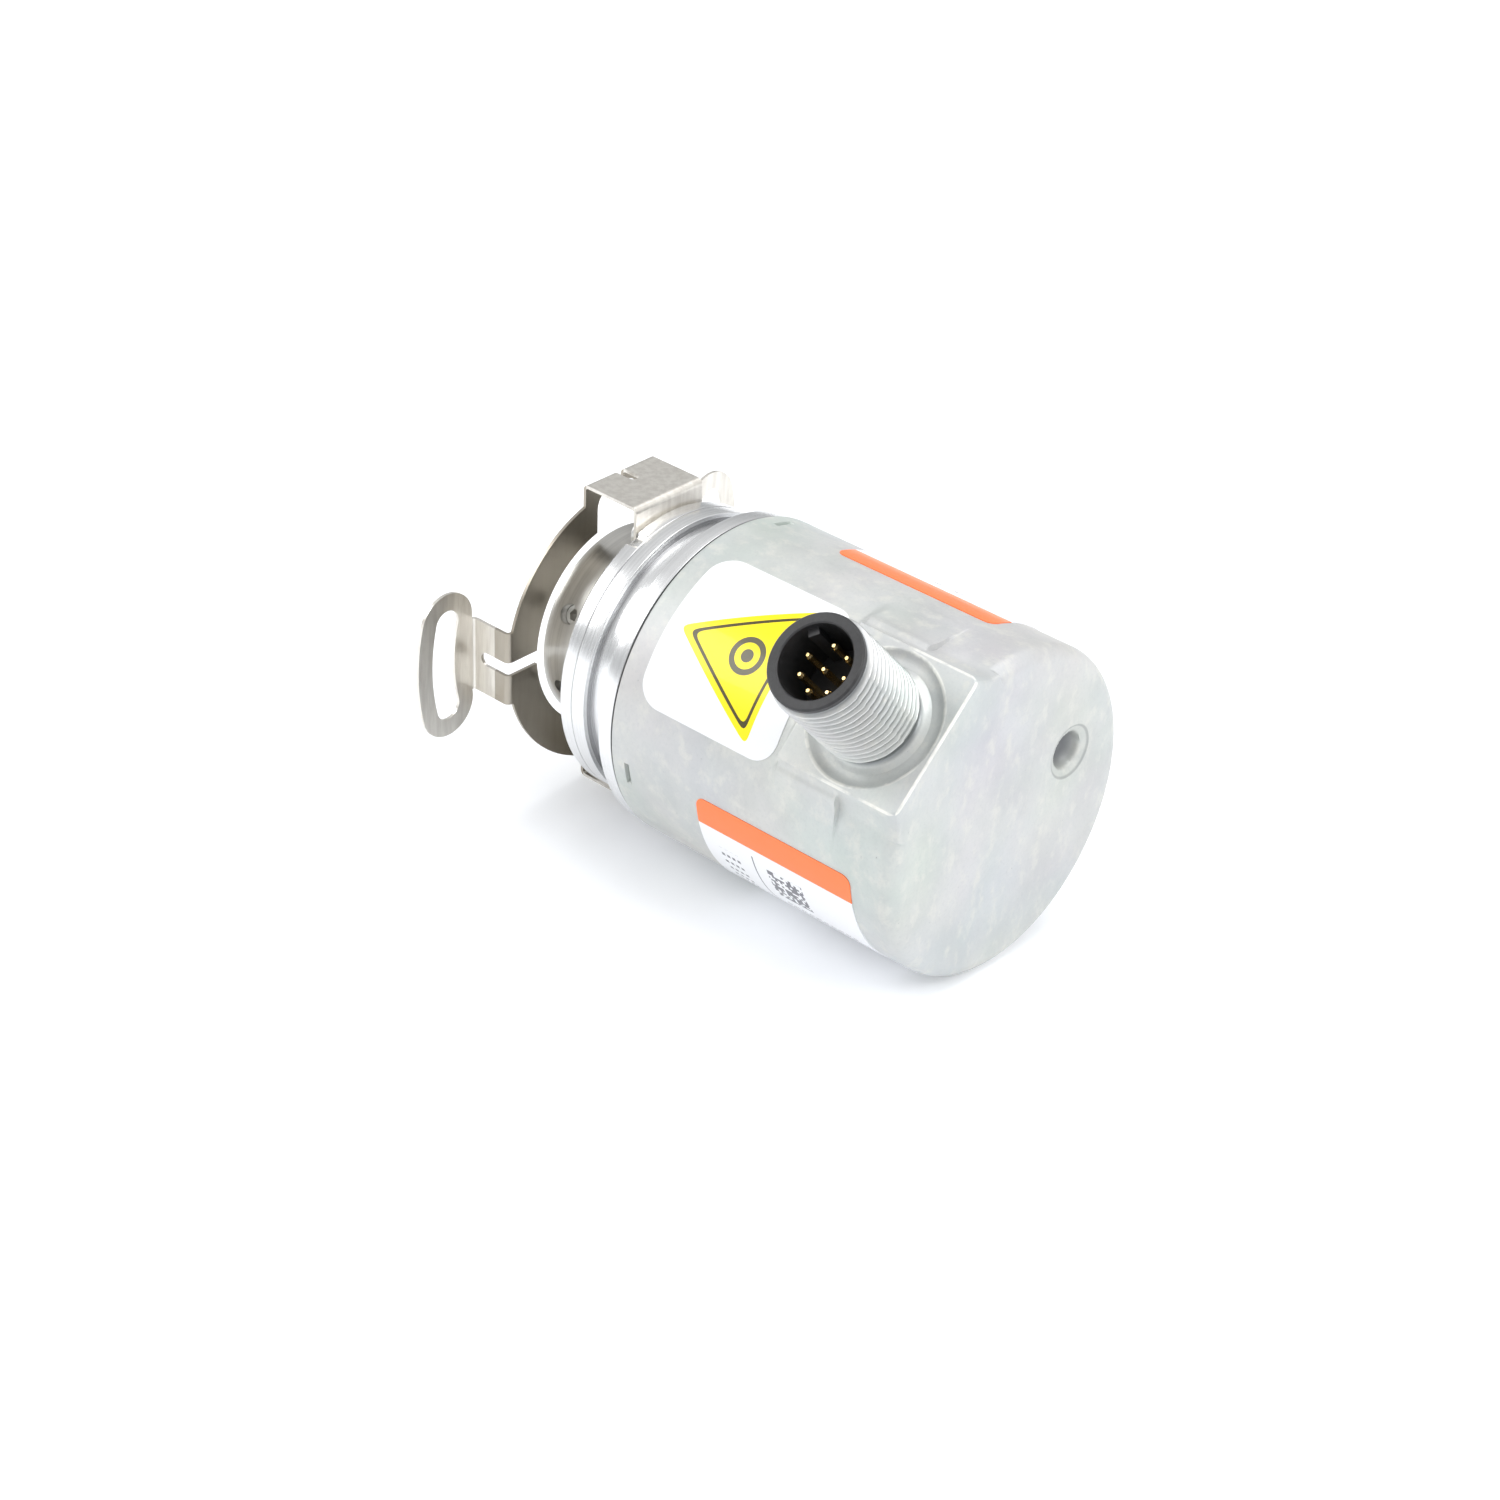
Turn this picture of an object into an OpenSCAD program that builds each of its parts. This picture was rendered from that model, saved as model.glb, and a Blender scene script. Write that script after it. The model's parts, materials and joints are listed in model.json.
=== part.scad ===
// Hollow-shaft rotary encoder with a spring stator coupling and a radial M12 connector.
// Frame: X runs along the shaft from its mouth (x = 0) to the closed end, +Z is up,
// the coupling's two ears lie close to Y, and the connector leans 45 degrees from -Y to +Z.
// Angles about the shaft are counted from +Y towards +Z.

/* [Housing] */
// Outside diameter of the cast cap
body_d = 40; // [39:0.5:50]
// Length of the cap from the seam to the closed end
cap_len = 42.2; // [42:0.1:56]
// Thickness of the cap's round wall
wall_t = 2; // [1.6:0.1:2.6]
// Thickness of the cap's closed end
end_wall_t = 2.2; // [1.6:0.1:3]
// Radius of the cap's rounded end edge
end_round = 1.8; // [0.8:0.1:2.4]

/* [Flange] */
// Length of the flange that shows in front of the seam
flange_len = 10.4; // [10:0.1:12.4]
// Length of the flange's front rim
front_rim_len = 4.2; // [3.2:0.1:5]
// Length of the rear rim beside the seam
rear_rim_len = 2; // [1.2:0.1:3]
// How much smaller the front rim is than the cap, in radius
front_rim_step = 1.95; // [1.6:0.05:2.4]
// Depth of the clamping groove below the front rim
groove_depth = 1.25; // [0.8:0.05:1.4]
// Length of the spigot that enters the cap
spigot_len = 7.5; // [7:0.1:9]

/* [Shaft and bearings] */
// Bore of the hollow shaft
bore_d = 12; // [8:0.1:14.4]
// Depth of the blind bore
bore_depth = 21; // [16:0.5:22]
// Wall of the hollow shaft
shaft_wall = 1.5; // [1.2:0.1:1.8]
// Radial height of a bearing, from its bore to its outside
bearing_h = 4.5; // [4.2:0.1:4.8]
// Width of each bearing
bearing_w = 5; // [4.6:0.1:5.4]
// Radius of a bearing ball
ball_r = 1.3; // [1.1:0.05:1.35]
// Distance between the two bearings
bearing_gap = 3.1; // [2:0.1:3.5]
// Radial wall of the clamping ring
clamp_wall = 4.95; // [4:0.05:5.4]
// Length of the clamping ring
clamp_len = 5.8; // [5:0.1:6.4]

/* [Stator coupling] */
// Thickness of the coupling's spring sheet
sheet_t = 0.4; // [0.3:0.05:0.5]
// Distance from the seam forward to the middle of the coupling's ring
ring_setback = 18.85; // [18:0.05:22.6]
// Distance from the ring forward to the ears
ear_offset = 5.75; // [4:0.05:7]
// How far the slots' circle lies outside the cap's surface, in radius
slot_beyond_body = 3; // [2.6:0.1:8]
// Width of an ear slot
slot_w = 3.5; // [3.2:0.1:4.2]
// Half of the angle between a slot's end centres
slot_half_angle = 14; // [10:0.5:17]
// Width of an ear's bracket
ear_w = 9.6; // [8:0.1:11]
// Width of each mounting tab
tab_w = 11; // [9.6:0.1:13]
// How far the whole coupling is turned about the shaft, in degrees
coupling_turn = 2.3; // [-4:0.1:4]

/* [Connector] */
// Distance from the closed end to the connector's axis
conn_from_end = 8.8; // [8.7:0.05:9]
// Height of the connector's rim above the shaft axis
conn_h = 35.3; // [32:0.1:44]
// Circle that the seven outer pins lie on
pin_circle_d = 5.5; // [5:0.1:5.6]
// Diameter of a contact pin
pin_d = 0.8; // [0.7:0.05:1]
// Length of the square pad along the shaft, from the connector's axis to its edge
pad_half_len = 8.6; // [8.2:0.1:8.6]
// Half of the pad's width
pad_half_w = 8.7; // [8.2:0.1:9.4]

/* [Electronics] */
// Radius of the code disc
disc_r = 12.6; // [12:0.1:13]
// Thickness of a circuit board
board_t = 1.2; // [0.8:0.1:1.6]
// Distance from the flange to the sensor board
sensor_board_gap = 5.2; // [5:0.1:6]
// Distance between the two circuit boards
board_gap = 5.8; // [5:0.1:6.5]

/* [Hidden] */
$fn = 96;
eps = 0.01;

// Radii that follow from one another
body_r = body_d / 2;
cavity_r = body_r - wall_t;
bore_r = bore_d / 2;
shaft_r = bore_r + shaft_wall;
bearing_r = shaft_r + bearing_h;
clamp_r = shaft_r + clamp_wall;
ring_clear = 0.95;
ring_in_r = clamp_r + ring_clear;
ring_out_r = body_r - 2.1;
front_rim_r = body_r - front_rim_step;
rear_rim_r = body_r - 0.2;
groove_r = front_rim_r - groove_depth;
tab_z = body_r;
board_r = cavity_r - 0.8;

// Stations along the shaft
mouth_to_ring = 1.45;
seam_x = mouth_to_ring + ring_setback;
seam_gap = 0.25;
flange_x = seam_x - flange_len;
spigot_x = seam_x + spigot_len;
end_x = seam_x + cap_len;
clamp_x = 1.5;
lip_len = 1.8;
bearing1_x = flange_x + lip_len;
bearing2_x = bearing1_x + bearing_w + bearing_gap;
shaft_end_x = bearing2_x + bearing_w;
spring_len = 0.8;
circlip_len = 1;
circlip_x = shaft_end_x + spring_len;
stub_r = shaft_r - 2.5;
disc_x = spigot_x + 1.7;
disc_t = 0.8;
nut_len = 1.5;
sensor_x = spigot_x + sensor_board_gap;
interface_x = sensor_x + board_t + board_gap;
screw_head_len = 1.4;
seal_len = 1.4;
collar_r = shaft_r + 1.3;
seal_out_r = bearing_r - 1.7;
run_clear = 0.05;
clamp_screw_r = 1.2;
clamp_screw_angles = [153.5, 200];

// Bearings
ball_count = 11;
ball_centre_r = shaft_r + bearing_h / 2;
race_clear = 0.05;
inner_race_r = ball_centre_r - 0.9;
outer_race_r = ball_centre_r + 0.9;

// Coupling
ring_x = mouth_to_ring;
ear_x = ring_x - ear_offset;
slit_w = 1.75;
bend_r = 0.35;
slot_r = body_r + slot_beyond_body;
slot_half_w = slot_w / 2;
ear_rim = 2.2;
bracket_y = ring_out_r;
leg_screw_z = (clamp_r + front_rim_r) / 2 + 0.25;
leg_screw_y = 2.9;
leg_screw_r = 1.25;
leg_screw_head_r = 2.1;
leg_screw_len = 3.6;
leg_foot_z = clamp_r + 0.6;
tab_arch_w = 3.5;
tab_arch_r = 2.4;
tab_slit_w = 1.3;
tab_slit_len = 2.45;

// Connector
conn_angle = 135;
conn_x = end_x - conn_from_end;
thread_d = 12;
thread_pitch = 1;
thread_r = thread_d / 2;
thread_root_r = thread_r - 0.58 * thread_pitch;
crest_w = 0.16 * thread_pitch;
rim_r = 5.62;
rim_len = 0.7;
insert_r = 4.85;
insert_clear = 0.05;
socket_r = 4.36;
socket_depth = 7.5;
pin_recess = 2.15;
seat_h = body_r - 3.5;
insert_flange_r = 6.2;
insert_flange_len = 1.6;
seal_wire_r = 0.55;
boss_r = 7.8;
boss_len = 2.7;
thread_top_h = conn_h - rim_len;
relief_h = body_r + 1.3;
relief_r = 5.25;
spot_r = 8.15;
spot_depth = 0.45;
pad_corner_r = 1.5;
pad_h = body_r;
key_gap_angle = 67;
pin_first_angle = 133;
tail_h = seat_h - 4;
tail_board_t = 1;
tail_board_r = 5;
ribbon_t = 0.9;
ribbon_w = 8;
ribbon_h = seat_h - 9;
ribbon_bend = 1.6;

// Labels and marks on the cap
label_t = 0.1;
label_half_angle = 29;
label_from_seam = 3.35;
label_len = 20.3;
label_corner = 3.2;
type_label_len = 23;
type_label_angle = 75;
type_label_corner = 1.2;
lower_label_from_seam = 13.65;
lower_label_start = 186.7;
upper_label_from_seam = 11.7;
upper_label_end = 80.5;
slot_mark_from_seam = 2.3;
slot_mark_w = 0.6;
slot_mark_len = 2.9;
slot_mark_depth = 0.6;
slot_mark_angle = 58.5;
flat_angle = 46;
flat_w = 4.6;
flat_drop = 0.05;
flat_t = 1.1;
flat_start = 24.5;
flat_end = 33.85;
dimple_y = 10.3;
dimple_z = 4.3;
dimple_r = 3.3;
dimple_depth = 1.7;

// Fasteners around the boards
post_r = body_r - 4.8;
post_flat = 3.4;
post_stud_r = 0.95;
post_stud_len = 3;
post_angles = [15, 135, 255];
lamp_angle = 75;
lamp_radius = disc_r - 1.4;
link_angle = 315;

// ---- helpers ----

// Turns local z to the shaft direction, local x to +Y and local y to +Z
module along_x(x = 0) {
    translate([x, 0, 0]) rotate([90, 0, 90]) children();
}

// A turned shape from points of [radius, station along the shaft]
module turned(points) {
    along_x() rotate_extrude() polygon(points);
}

// A ring around the shaft
module ring(r_in, r_out, x, len) {
    turned([[r_in, x], [r_out, x], [r_out, x + len], [r_in, x + len]]);
}

// A plate sector around the shaft between two angles
module sector(r_in, r_out, from, to, x, len) {
    along_x(x) rotate([0, 0, from]) rotate_extrude(angle = to - from)
        translate([r_in, 0]) square([r_out - r_in, len]);
}

// Places children on the connector: local z points outwards along its axis
module on_connector(h = 0) {
    translate([conn_x, 0, 0]) rotate([conn_angle, 0, 0]) rotate([-90, 0, 0])
        translate([0, 0, h]) children();
}

// A quarter bend of sheet, from local -z turned towards local +x, with its width along y
module quarter_bend(width) {
    translate([0, width / 2, 0]) rotate([90, 0, 0])
        rotate_extrude(angle = 90) translate([bend_r, 0]) square([sheet_t, width]);
}

// A flat shape with round corners
module rounded_square(w, h, r) {
    square([w - 2 * r, h], center = true);
    square([w, h - 2 * r], center = true);
    for (sx = [-1, 1], sy = [-1, 1])
        translate([sx * (w / 2 - r), sy * (h / 2 - r)]) circle(r);
}

// Puts children at each board post
module at_posts() {
    for (a = post_angles) rotate([a, 0, 0]) translate([0, post_r, 0]) children();
}

// ---- housing ----

module cap_outside() {
    start = seam_x + seam_gap;
    along_x() rotate_extrude() {
        translate([0, start]) square([body_r, cap_len - seam_gap - end_round]);
        translate([0, end_x - end_round]) square([body_r - end_round, end_round]);
        translate([body_r - end_round, end_x - end_round]) circle(end_round);
    }
}

module connector_pad() {
    intersection() {
        on_connector(pad_h - 9) linear_extrude(9)
            rounded_square(2 * pad_half_len, 2 * pad_half_w, pad_corner_r);
        ring(0, 2 * body_r, seam_x, cap_len - 0.2);
    }
}

module thread() {
    first = relief_h;
    turns = floor((thread_top_h - first) / thread_pitch);
    on_connector(0) rotate_extrude() union() {
        translate([0, seat_h]) square([relief_r, thread_top_h - seat_h]);
        translate([0, first]) square([thread_root_r, thread_top_h - first]);
        for (i = [0 : turns - 1]) {
            h = first + (i + 0.5) * thread_pitch;
            polygon([[thread_root_r - eps, h - 0.44 * thread_pitch], [thread_r, h - crest_w / 2],
                     [thread_r, h + crest_w / 2], [thread_root_r - eps, h + 0.44 * thread_pitch]]);
        }
    }
}

// The cast shell with its pad, before the connector's bore is cut
module cap_shell() {
    difference() {
        union() {
            cap_outside();
            connector_pad();
            // flats that the die leaves on both sides of the pad, running out into the wall
            for (side = [-1, 1]) rotate([conn_angle + side * flat_angle, 0, 0])
                translate([seam_x + flat_start, body_r - flat_drop - flat_t, side > 0 ? -flat_w : 0])
                    cube([flat_end - flat_start, flat_t, flat_w]);
        }
        on_connector(pad_h - spot_depth) cylinder(r = spot_r, h = body_r);
        ring(0, cavity_r, seam_x, cap_len - end_wall_t);
        for (side = [-1, 1], half = [0, 180])
            rotate([conn_angle + half + side * slot_mark_angle, 0, 0])
                translate([seam_x + slot_mark_from_seam, body_r - slot_mark_depth, -slot_mark_len / 2])
                    cube([slot_mark_w, slot_mark_depth + 1, slot_mark_len]);
        translate([0, dimple_y, dimple_z]) along_x() rotate_extrude()
            polygon([[0, end_x - dimple_depth], [1.1, end_x - dimple_depth],
                     [2.2, end_x - 0.8], [dimple_r, end_x], [dimple_r, end_x + 1], [0, end_x + 1]]);
    }
}

module housing_cap() {
    color("lightgray") difference() {
        union() {
            cap_shell();
            on_connector(seat_h - boss_len) cylinder(r = boss_r, h = boss_len + 1);
        }
        on_connector(0) cylinder(r = relief_r, h = conn_h);
        on_connector(0) cylinder(r = insert_flange_r + insert_clear, h = seat_h);
    }
}

// The threaded stud, pressed into the cap's bore down to the insert's seat
module connector_stud() {
    color("silver") difference() {
        thread();
        on_connector(0) cylinder(r = insert_r + insert_clear, h = conn_h);
    }
}

module flange() {
    bore = bearing_r;
    color("gainsboro") difference() {
        turned([[seal_out_r, flange_x], [front_rim_r - 0.4, flange_x], [front_rim_r, flange_x + 0.4],
                [front_rim_r, flange_x + front_rim_len], [groove_r, flange_x + front_rim_len],
                [groove_r, seam_x - rear_rim_len], [rear_rim_r - 0.2, seam_x - rear_rim_len],
                [rear_rim_r, seam_x - rear_rim_len + 0.2], [rear_rim_r, seam_x],
                [cavity_r - run_clear, seam_x], [cavity_r - run_clear, seam_x + 2.8],
                [cavity_r - 1.6, seam_x + 2.8], [cavity_r - 1.6, seam_x + 5],
                [cavity_r - run_clear, seam_x + 5], [cavity_r - run_clear, spigot_x],
                [bore, spigot_x], [bore, circlip_x + circlip_len], [bore + 0.8, circlip_x + circlip_len],
                [bore + 0.8, circlip_x], [bore, circlip_x], [bore, bearing1_x],
                [seal_out_r, bearing1_x]]);
        for (side = [-1, 1], y = [-leg_screw_y, leg_screw_y])
            rotate([coupling_turn, 0, 0]) translate([0, y, side * leg_screw_z]) along_x(flange_x - 1)
                cylinder(r = leg_screw_r, h = 1 + leg_screw_len + 0.3);
        at_posts() along_x(spigot_x - post_stud_len - 0.2)
            cylinder(r = post_stud_r, h = post_stud_len + 1);
        rotate([113.5, 0, 0]) translate([flange_x - 1, front_rim_r - 0.9, -1]) cube([1.9, 2, 2]);
        rotate([120, 0, 0]) translate([flange_x + front_rim_len + 0.3, groove_r - 0.5, -0.4])
            cube([1.6, 1, 0.8]);
    }
}

module cap_seal() {
    color("black") along_x(seam_x + 3.9) rotate_extrude()
        translate([cavity_r - 0.8, 0]) circle(0.8);
}

// ---- stator coupling ----

// A flat band along the slots' circle, with round ends
module arc_band(r_in, r_out) {
    reach = 2 * r_out;
    intersection() {
        difference() {
            circle(r_out);
            circle(r_in);
        }
        polygon([[0, 0], [reach * cos(slot_half_angle), -reach * sin(slot_half_angle)],
                 [reach * cos(slot_half_angle), reach * sin(slot_half_angle)]]);
    }
    for (side = [-1, 1]) rotate(side * slot_half_angle) translate([(r_in + r_out) / 2, 0])
        circle((r_out - r_in) / 2);
}

// One ear with its bracket, drawn on the +Y side
module coupling_ear() {
    half = sheet_t / 2;
    bend = bend_r + sheet_t;
    flat_y = bracket_y + half;
    difference() {
        union() {
            // bracket, parallel to the shaft
            translate([ear_x + half + bend_r, flat_y - sheet_t, -ear_w / 2])
                cube([ring_x - ear_x - 2 * bend_r - sheet_t, sheet_t, ear_w]);
            // bend from the ring into the bracket
            translate([ring_x + half - bend, flat_y - bend, 0]) rotate([-90, 0, 0]) quarter_bend(ear_w);
            translate([ring_x - half, ring_in_r + 1, -ear_w / 2])
                cube([sheet_t, flat_y - bend - ring_in_r - 1, ear_w]);
            // bend from the bracket into the ear
            translate([ear_x - half + bend, flat_y - sheet_t + bend, 0])
                rotate([-90, 0, 180]) quarter_bend(ear_w);
            along_x(ear_x - half) linear_extrude(sheet_t) difference() {
                union() {
                    arc_band(slot_r - slot_half_w - ear_rim, slot_r + slot_half_w + ear_rim);
                    translate([flat_y - sheet_t + bend, -ear_w / 2])
                        square([slot_r - slot_half_w - flat_y - 0.3, ear_w]);
                }
                arc_band(slot_r - slot_half_w, slot_r + slot_half_w);
            }
        }
        coupling_ear_slit();
    }
}

// The slit that splits the ring and runs on into the ear's bracket
module coupling_ear_slit() {
    end = ear_x + 1.4 + slit_w / 2;
    translate([end, ring_in_r - 2, -slit_w / 2]) cube([ring_x - end + 1, bracket_y - ring_in_r + 4, slit_w]);
    translate([end, ring_in_r - 2, 0]) rotate([-90, 0, 0]) cylinder(d = slit_w, h = bracket_y - ring_in_r + 4);
}

// One mounting tab, drawn on the +Z side
module coupling_tab() {
    half = sheet_t / 2;
    bend = bend_r + sheet_t;
    leg_x = flange_x - sheet_t;
    difference() {
        union() {
            translate([ring_x - half, -tab_w / 2, ring_in_r + 1])
                cube([sheet_t, tab_w, tab_z - bend - ring_in_r - 1]);
            translate([ring_x - half + bend, 0, tab_z - bend]) rotate([0, 180, 0]) rotate([180, 0, 0])
                quarter_bend(tab_w);
            translate([ring_x - half + bend, -tab_w / 2, tab_z - sheet_t])
                cube([flange_x - bend - ring_x + half - bend, tab_w, sheet_t]);
            translate([flange_x - bend, 0, tab_z - bend]) quarter_bend(tab_w);
            translate([leg_x, -tab_w / 2, leg_foot_z]) cube([sheet_t, tab_w, tab_z - bend - leg_foot_z]);
        }
        translate([ring_x - 1, -tab_arch_w, ring_in_r - 2]) cube([2, 2 * tab_arch_w, 4.6]);
        for (y = [-1, 1]) translate([0, y * (tab_arch_w - tab_arch_r), ring_in_r + 2.6])
            along_x(ring_x - 1) cylinder(r = tab_arch_r, h = 2);
        translate([ring_x - 1, -tab_slit_w / 2, ring_in_r]) cube([1 + tab_slit_len, tab_slit_w, tab_z]);
        translate([ring_x + tab_slit_len, 0, tab_z - 2]) cylinder(d = tab_slit_w, h = 3);
        for (y = [-leg_screw_y, leg_screw_y])
            translate([0, y, leg_screw_z]) along_x(leg_x - 1) cylinder(r = leg_screw_r + 0.1, h = 2);
    }
}

module stator_coupling() {
    color("tan") rotate([coupling_turn, 0, 0]) union() {
        difference() {
            ring(ring_in_r, ring_out_r, ring_x - sheet_t / 2, sheet_t);
            for (half = [0, 180]) rotate([half, 0, 0]) coupling_ear_slit();
            for (half = [0, 180]) rotate([half, 0, 0])
                translate([ring_x - 1, -tab_arch_w, ring_in_r - 2]) cube([2, 2 * tab_arch_w, 8]);
            // straight sides where the ears fold
            for (half = [0, 180]) rotate([half, 0, 0])
                translate([ring_x - 1, bracket_y + sheet_t / 2 - bend_r - sheet_t, -ear_w / 2]) cube([2, 3, ear_w]);
        }
        for (half = [0, 180]) rotate([half, 0, 0]) coupling_ear();
        for (half = [0, 180]) rotate([half, 0, 0]) coupling_tab();
    }
}

module coupling_screws() {
    face = flange_x - sheet_t;
    color("silver") rotate([coupling_turn, 0, 0]) for (side = [-1, 1], y = [-leg_screw_y, leg_screw_y])
        translate([0, y, side * leg_screw_z]) difference() {
            along_x() rotate_extrude() polygon([[0, face - screw_head_len],
                [leg_screw_head_r - 0.5, face - screw_head_len], [leg_screw_head_r, face - 0.9],
                [leg_screw_head_r, face], [leg_screw_r, face],
                [leg_screw_r, flange_x + leg_screw_len], [0, flange_x + leg_screw_len]]);
            along_x(face - screw_head_len - 1) cylinder(r = 0.85, h = 1.9, $fn = 6);
        }
}

// ---- rotor ----

module hollow_shaft() {
    color("silver") difference() {
        turned([[0, bore_depth], [bore_r, bore_depth], [bore_r, 0.4], [bore_r + 0.4, 0], [shaft_r - 0.3, 0],
                [shaft_r, 0.3], [shaft_r, bearing1_x - 1.1], [collar_r, bearing1_x - 1.1],
                [collar_r, bearing1_x], [shaft_r, bearing1_x], [shaft_r, shaft_end_x],
                [stub_r, shaft_end_x], [stub_r, disc_x + disc_t + nut_len], [0, disc_x + disc_t + nut_len]]);
        clamp_screw_places() cylinder(r = clamp_screw_r + 0.15, h = shaft_r);
    }
}

module clamp_screw_places() {
    for (a = clamp_screw_angles)
        rotate([a, 0, 0]) translate([clamp_x + clamp_len / 2, 0, 0]) rotate([-90, 0, 0])
            translate([0, 0, bore_r - 1]) children();
}

module clamp_ring() {
    color("dimgray") difference() {
        turned([[shaft_r, clamp_x], [clamp_r - 0.3, clamp_x], [clamp_r, clamp_x + 0.3],
                [clamp_r, clamp_x + clamp_len - 0.3], [clamp_r - 0.3, clamp_x + clamp_len],
                [shaft_r, clamp_x + clamp_len]]);
        clamp_screw_places() cylinder(r = clamp_screw_r + run_clear, h = clamp_r);
    }
}

module clamp_screws() {
    depth = clamp_r - bore_r - 0.3;
    color("dimgray") clamp_screw_places() translate([0, 0, 1.1]) difference() {
        cylinder(r = clamp_screw_r, h = depth - 0.9);
        translate([0, 0, depth - 2.2]) cylinder(r = 0.75, h = 2, $fn = 6);
    }
}

module shaft_seal() {
    color("black") turned([[collar_r + run_clear, flange_x + 0.8], [collar_r + 0.5, flange_x + 0.1],
        [seal_out_r, flange_x + 0.1], [seal_out_r, flange_x + 0.1 + seal_len],
        [collar_r + 0.5, flange_x + 0.1 + seal_len], [collar_r + run_clear, flange_x + 1.1]]);
}

// ---- bearings ----

module bearing_outer(x) {
    color("lightsteelblue") along_x(x) rotate_extrude() difference() {
        translate([outer_race_r, 0]) square([bearing_r - outer_race_r, bearing_w]);
        translate([ball_centre_r, bearing_w / 2]) circle(ball_r + race_clear);
    }
}

module bearing_inner(x) {
    color("lightsteelblue") along_x(x) rotate_extrude() difference() {
        translate([shaft_r, 0]) square([inner_race_r - shaft_r, bearing_w]);
        translate([ball_centre_r, bearing_w / 2]) circle(ball_r + race_clear);
    }
}

module bearing_balls(x) {
    color("silver") for (i = [0 : ball_count - 1])
        rotate([i * 360 / ball_count, 0, 0]) translate([x + bearing_w / 2, ball_centre_r, 0])
            sphere(ball_r, $fn = 32);
}

module bearing_cage(x) {
    width = 2 * ball_r + 0.8;
    color("goldenrod") difference() {
        ring(ball_centre_r - 0.6, ball_centre_r + 0.6, x + (bearing_w - width) / 2, width);
        for (i = [0 : ball_count - 1])
            rotate([i * 360 / ball_count, 0, 0]) translate([x + bearing_w / 2, ball_centre_r - 2, 0])
                rotate([-90, 0, 0]) cylinder(r = ball_r + 0.1, h = 4);
    }
}

module bearing_shields() {
    color("silver") for (x = [bearing1_x, bearing2_x], off = [0.05, bearing_w - 0.35])
        ring(inner_race_r + 0.2, outer_race_r, x + off, 0.3);
}

module front_bearing_outer() { bearing_outer(bearing1_x); }
module front_bearing_inner() { bearing_inner(bearing1_x); }
module front_bearing_balls() { bearing_balls(bearing1_x); }
module front_bearing_cage() { bearing_cage(bearing1_x); }
module rear_bearing_outer() { bearing_outer(bearing2_x); }
module rear_bearing_inner() { bearing_inner(bearing2_x); }
module rear_bearing_balls() { bearing_balls(bearing2_x); }
module rear_bearing_cage() { bearing_cage(bearing2_x); }

module outer_spacer() {
    color("silver") ring(bearing_r - 1.2, bearing_r, bearing1_x + bearing_w, bearing_gap);
}

module inner_spacer() {
    color("silver") ring(shaft_r, shaft_r + 1.1, bearing1_x + bearing_w, bearing_gap);
}

module preload_spring() {
    color("silver") turned([[bearing_r - 0.1, shaft_end_x], [bearing_r - 0.1, shaft_end_x + 0.25],
        [bearing_r - 1.3, circlip_x], [bearing_r - 1.3, circlip_x - 0.25]]);
}

module retaining_ring() {
    color("dimgray") difference() {
        union() {
            sector(bearing_r - 1.1, bearing_r + 0.75, 20, 340, circlip_x, circlip_len);
            for (a = [24, 336]) rotate([a, 0, 0]) translate([0, bearing_r - 1.6, 0])
                along_x(circlip_x) cylinder(r = 1.2, h = circlip_len);
        }
        for (a = [24, 336]) rotate([a, 0, 0]) translate([0, bearing_r - 1.7, 0])
            along_x(circlip_x - 1) cylinder(r = 0.5, h = circlip_len + 2);
    }
}

// ---- scanning unit ----

module disc_hub() {
    color("goldenrod") turned([[stub_r, shaft_end_x], [shaft_r + 0.8, shaft_end_x],
        [shaft_r + 0.8, spigot_x - 0.6], [shaft_r, spigot_x - 0.6], [shaft_r, disc_x], [stub_r, disc_x]]);
}

module code_disc() {
    color("lightblue") ring(stub_r, disc_r, disc_x, disc_t);
}

module disc_nut() {
    color("silver") difference() {
        ring(stub_r, shaft_r - 0.6, disc_x + disc_t, nut_len);
        for (a = [0, 90]) rotate([a, 0, 0])
            translate([disc_x + disc_t + nut_len - 0.7, -shaft_r - 1, -0.8]) cube([2, 2 * shaft_r + 2, 1.6]);
    }
}

module lamp_holder() {
    low = lamp_radius - 2.2;
    color("dimgray") rotate([lamp_angle, 0, 0]) difference() {
        translate([spigot_x, low, -3.2]) cube([1.1, cavity_r - 1.5 - low, 6.4]);
        translate([0, lamp_radius, 0]) along_x(spigot_x - 1) cylinder(r = 1.5, h = 3);
    }
}

module lamp() {
    color("ivory") rotate([lamp_angle, 0, 0]) translate([0, lamp_radius, 0])
        along_x(spigot_x + 0.1) cylinder(r = 1.5, h = 1.1);
}

module board(x) {
    color("seagreen") difference() {
        ring(0, board_r, x, board_t);
        at_posts() along_x(x - 1) cylinder(r = post_stud_r + 0.1, h = board_t + 2);
        rotate([link_angle + 180 - 28, 0, 0]) translate([x - 1, board_r - 1.1, -1.5]) cube([board_t + 2, 3, 3]);
    }
}

module sensor_board() { board(sensor_x); }

module sensor_chip() {
    color("black") rotate([lamp_angle, 0, 0])
        translate([sensor_x - 1.5, lamp_radius - 2.6, -3]) cube([1.5, 5.2, 6]);
}

// A hexagonal post around the shaft direction
module hex_post(x, len) {
    along_x(x) cylinder(d = post_flat / cos(30), h = len, $fn = 6);
}

module board_standoffs() {
    color("gold") at_posts() {
        hex_post(spigot_x, sensor_board_gap);
        along_x(spigot_x - post_stud_len) cylinder(r = post_stud_r, h = post_stud_len + eps);
    }
}

module board_spacers() {
    color("gold") at_posts() {
        hex_post(sensor_x + board_t, board_gap);
        along_x(sensor_x) cylinder(r = post_stud_r, h = board_t + eps);
    }
}

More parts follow.
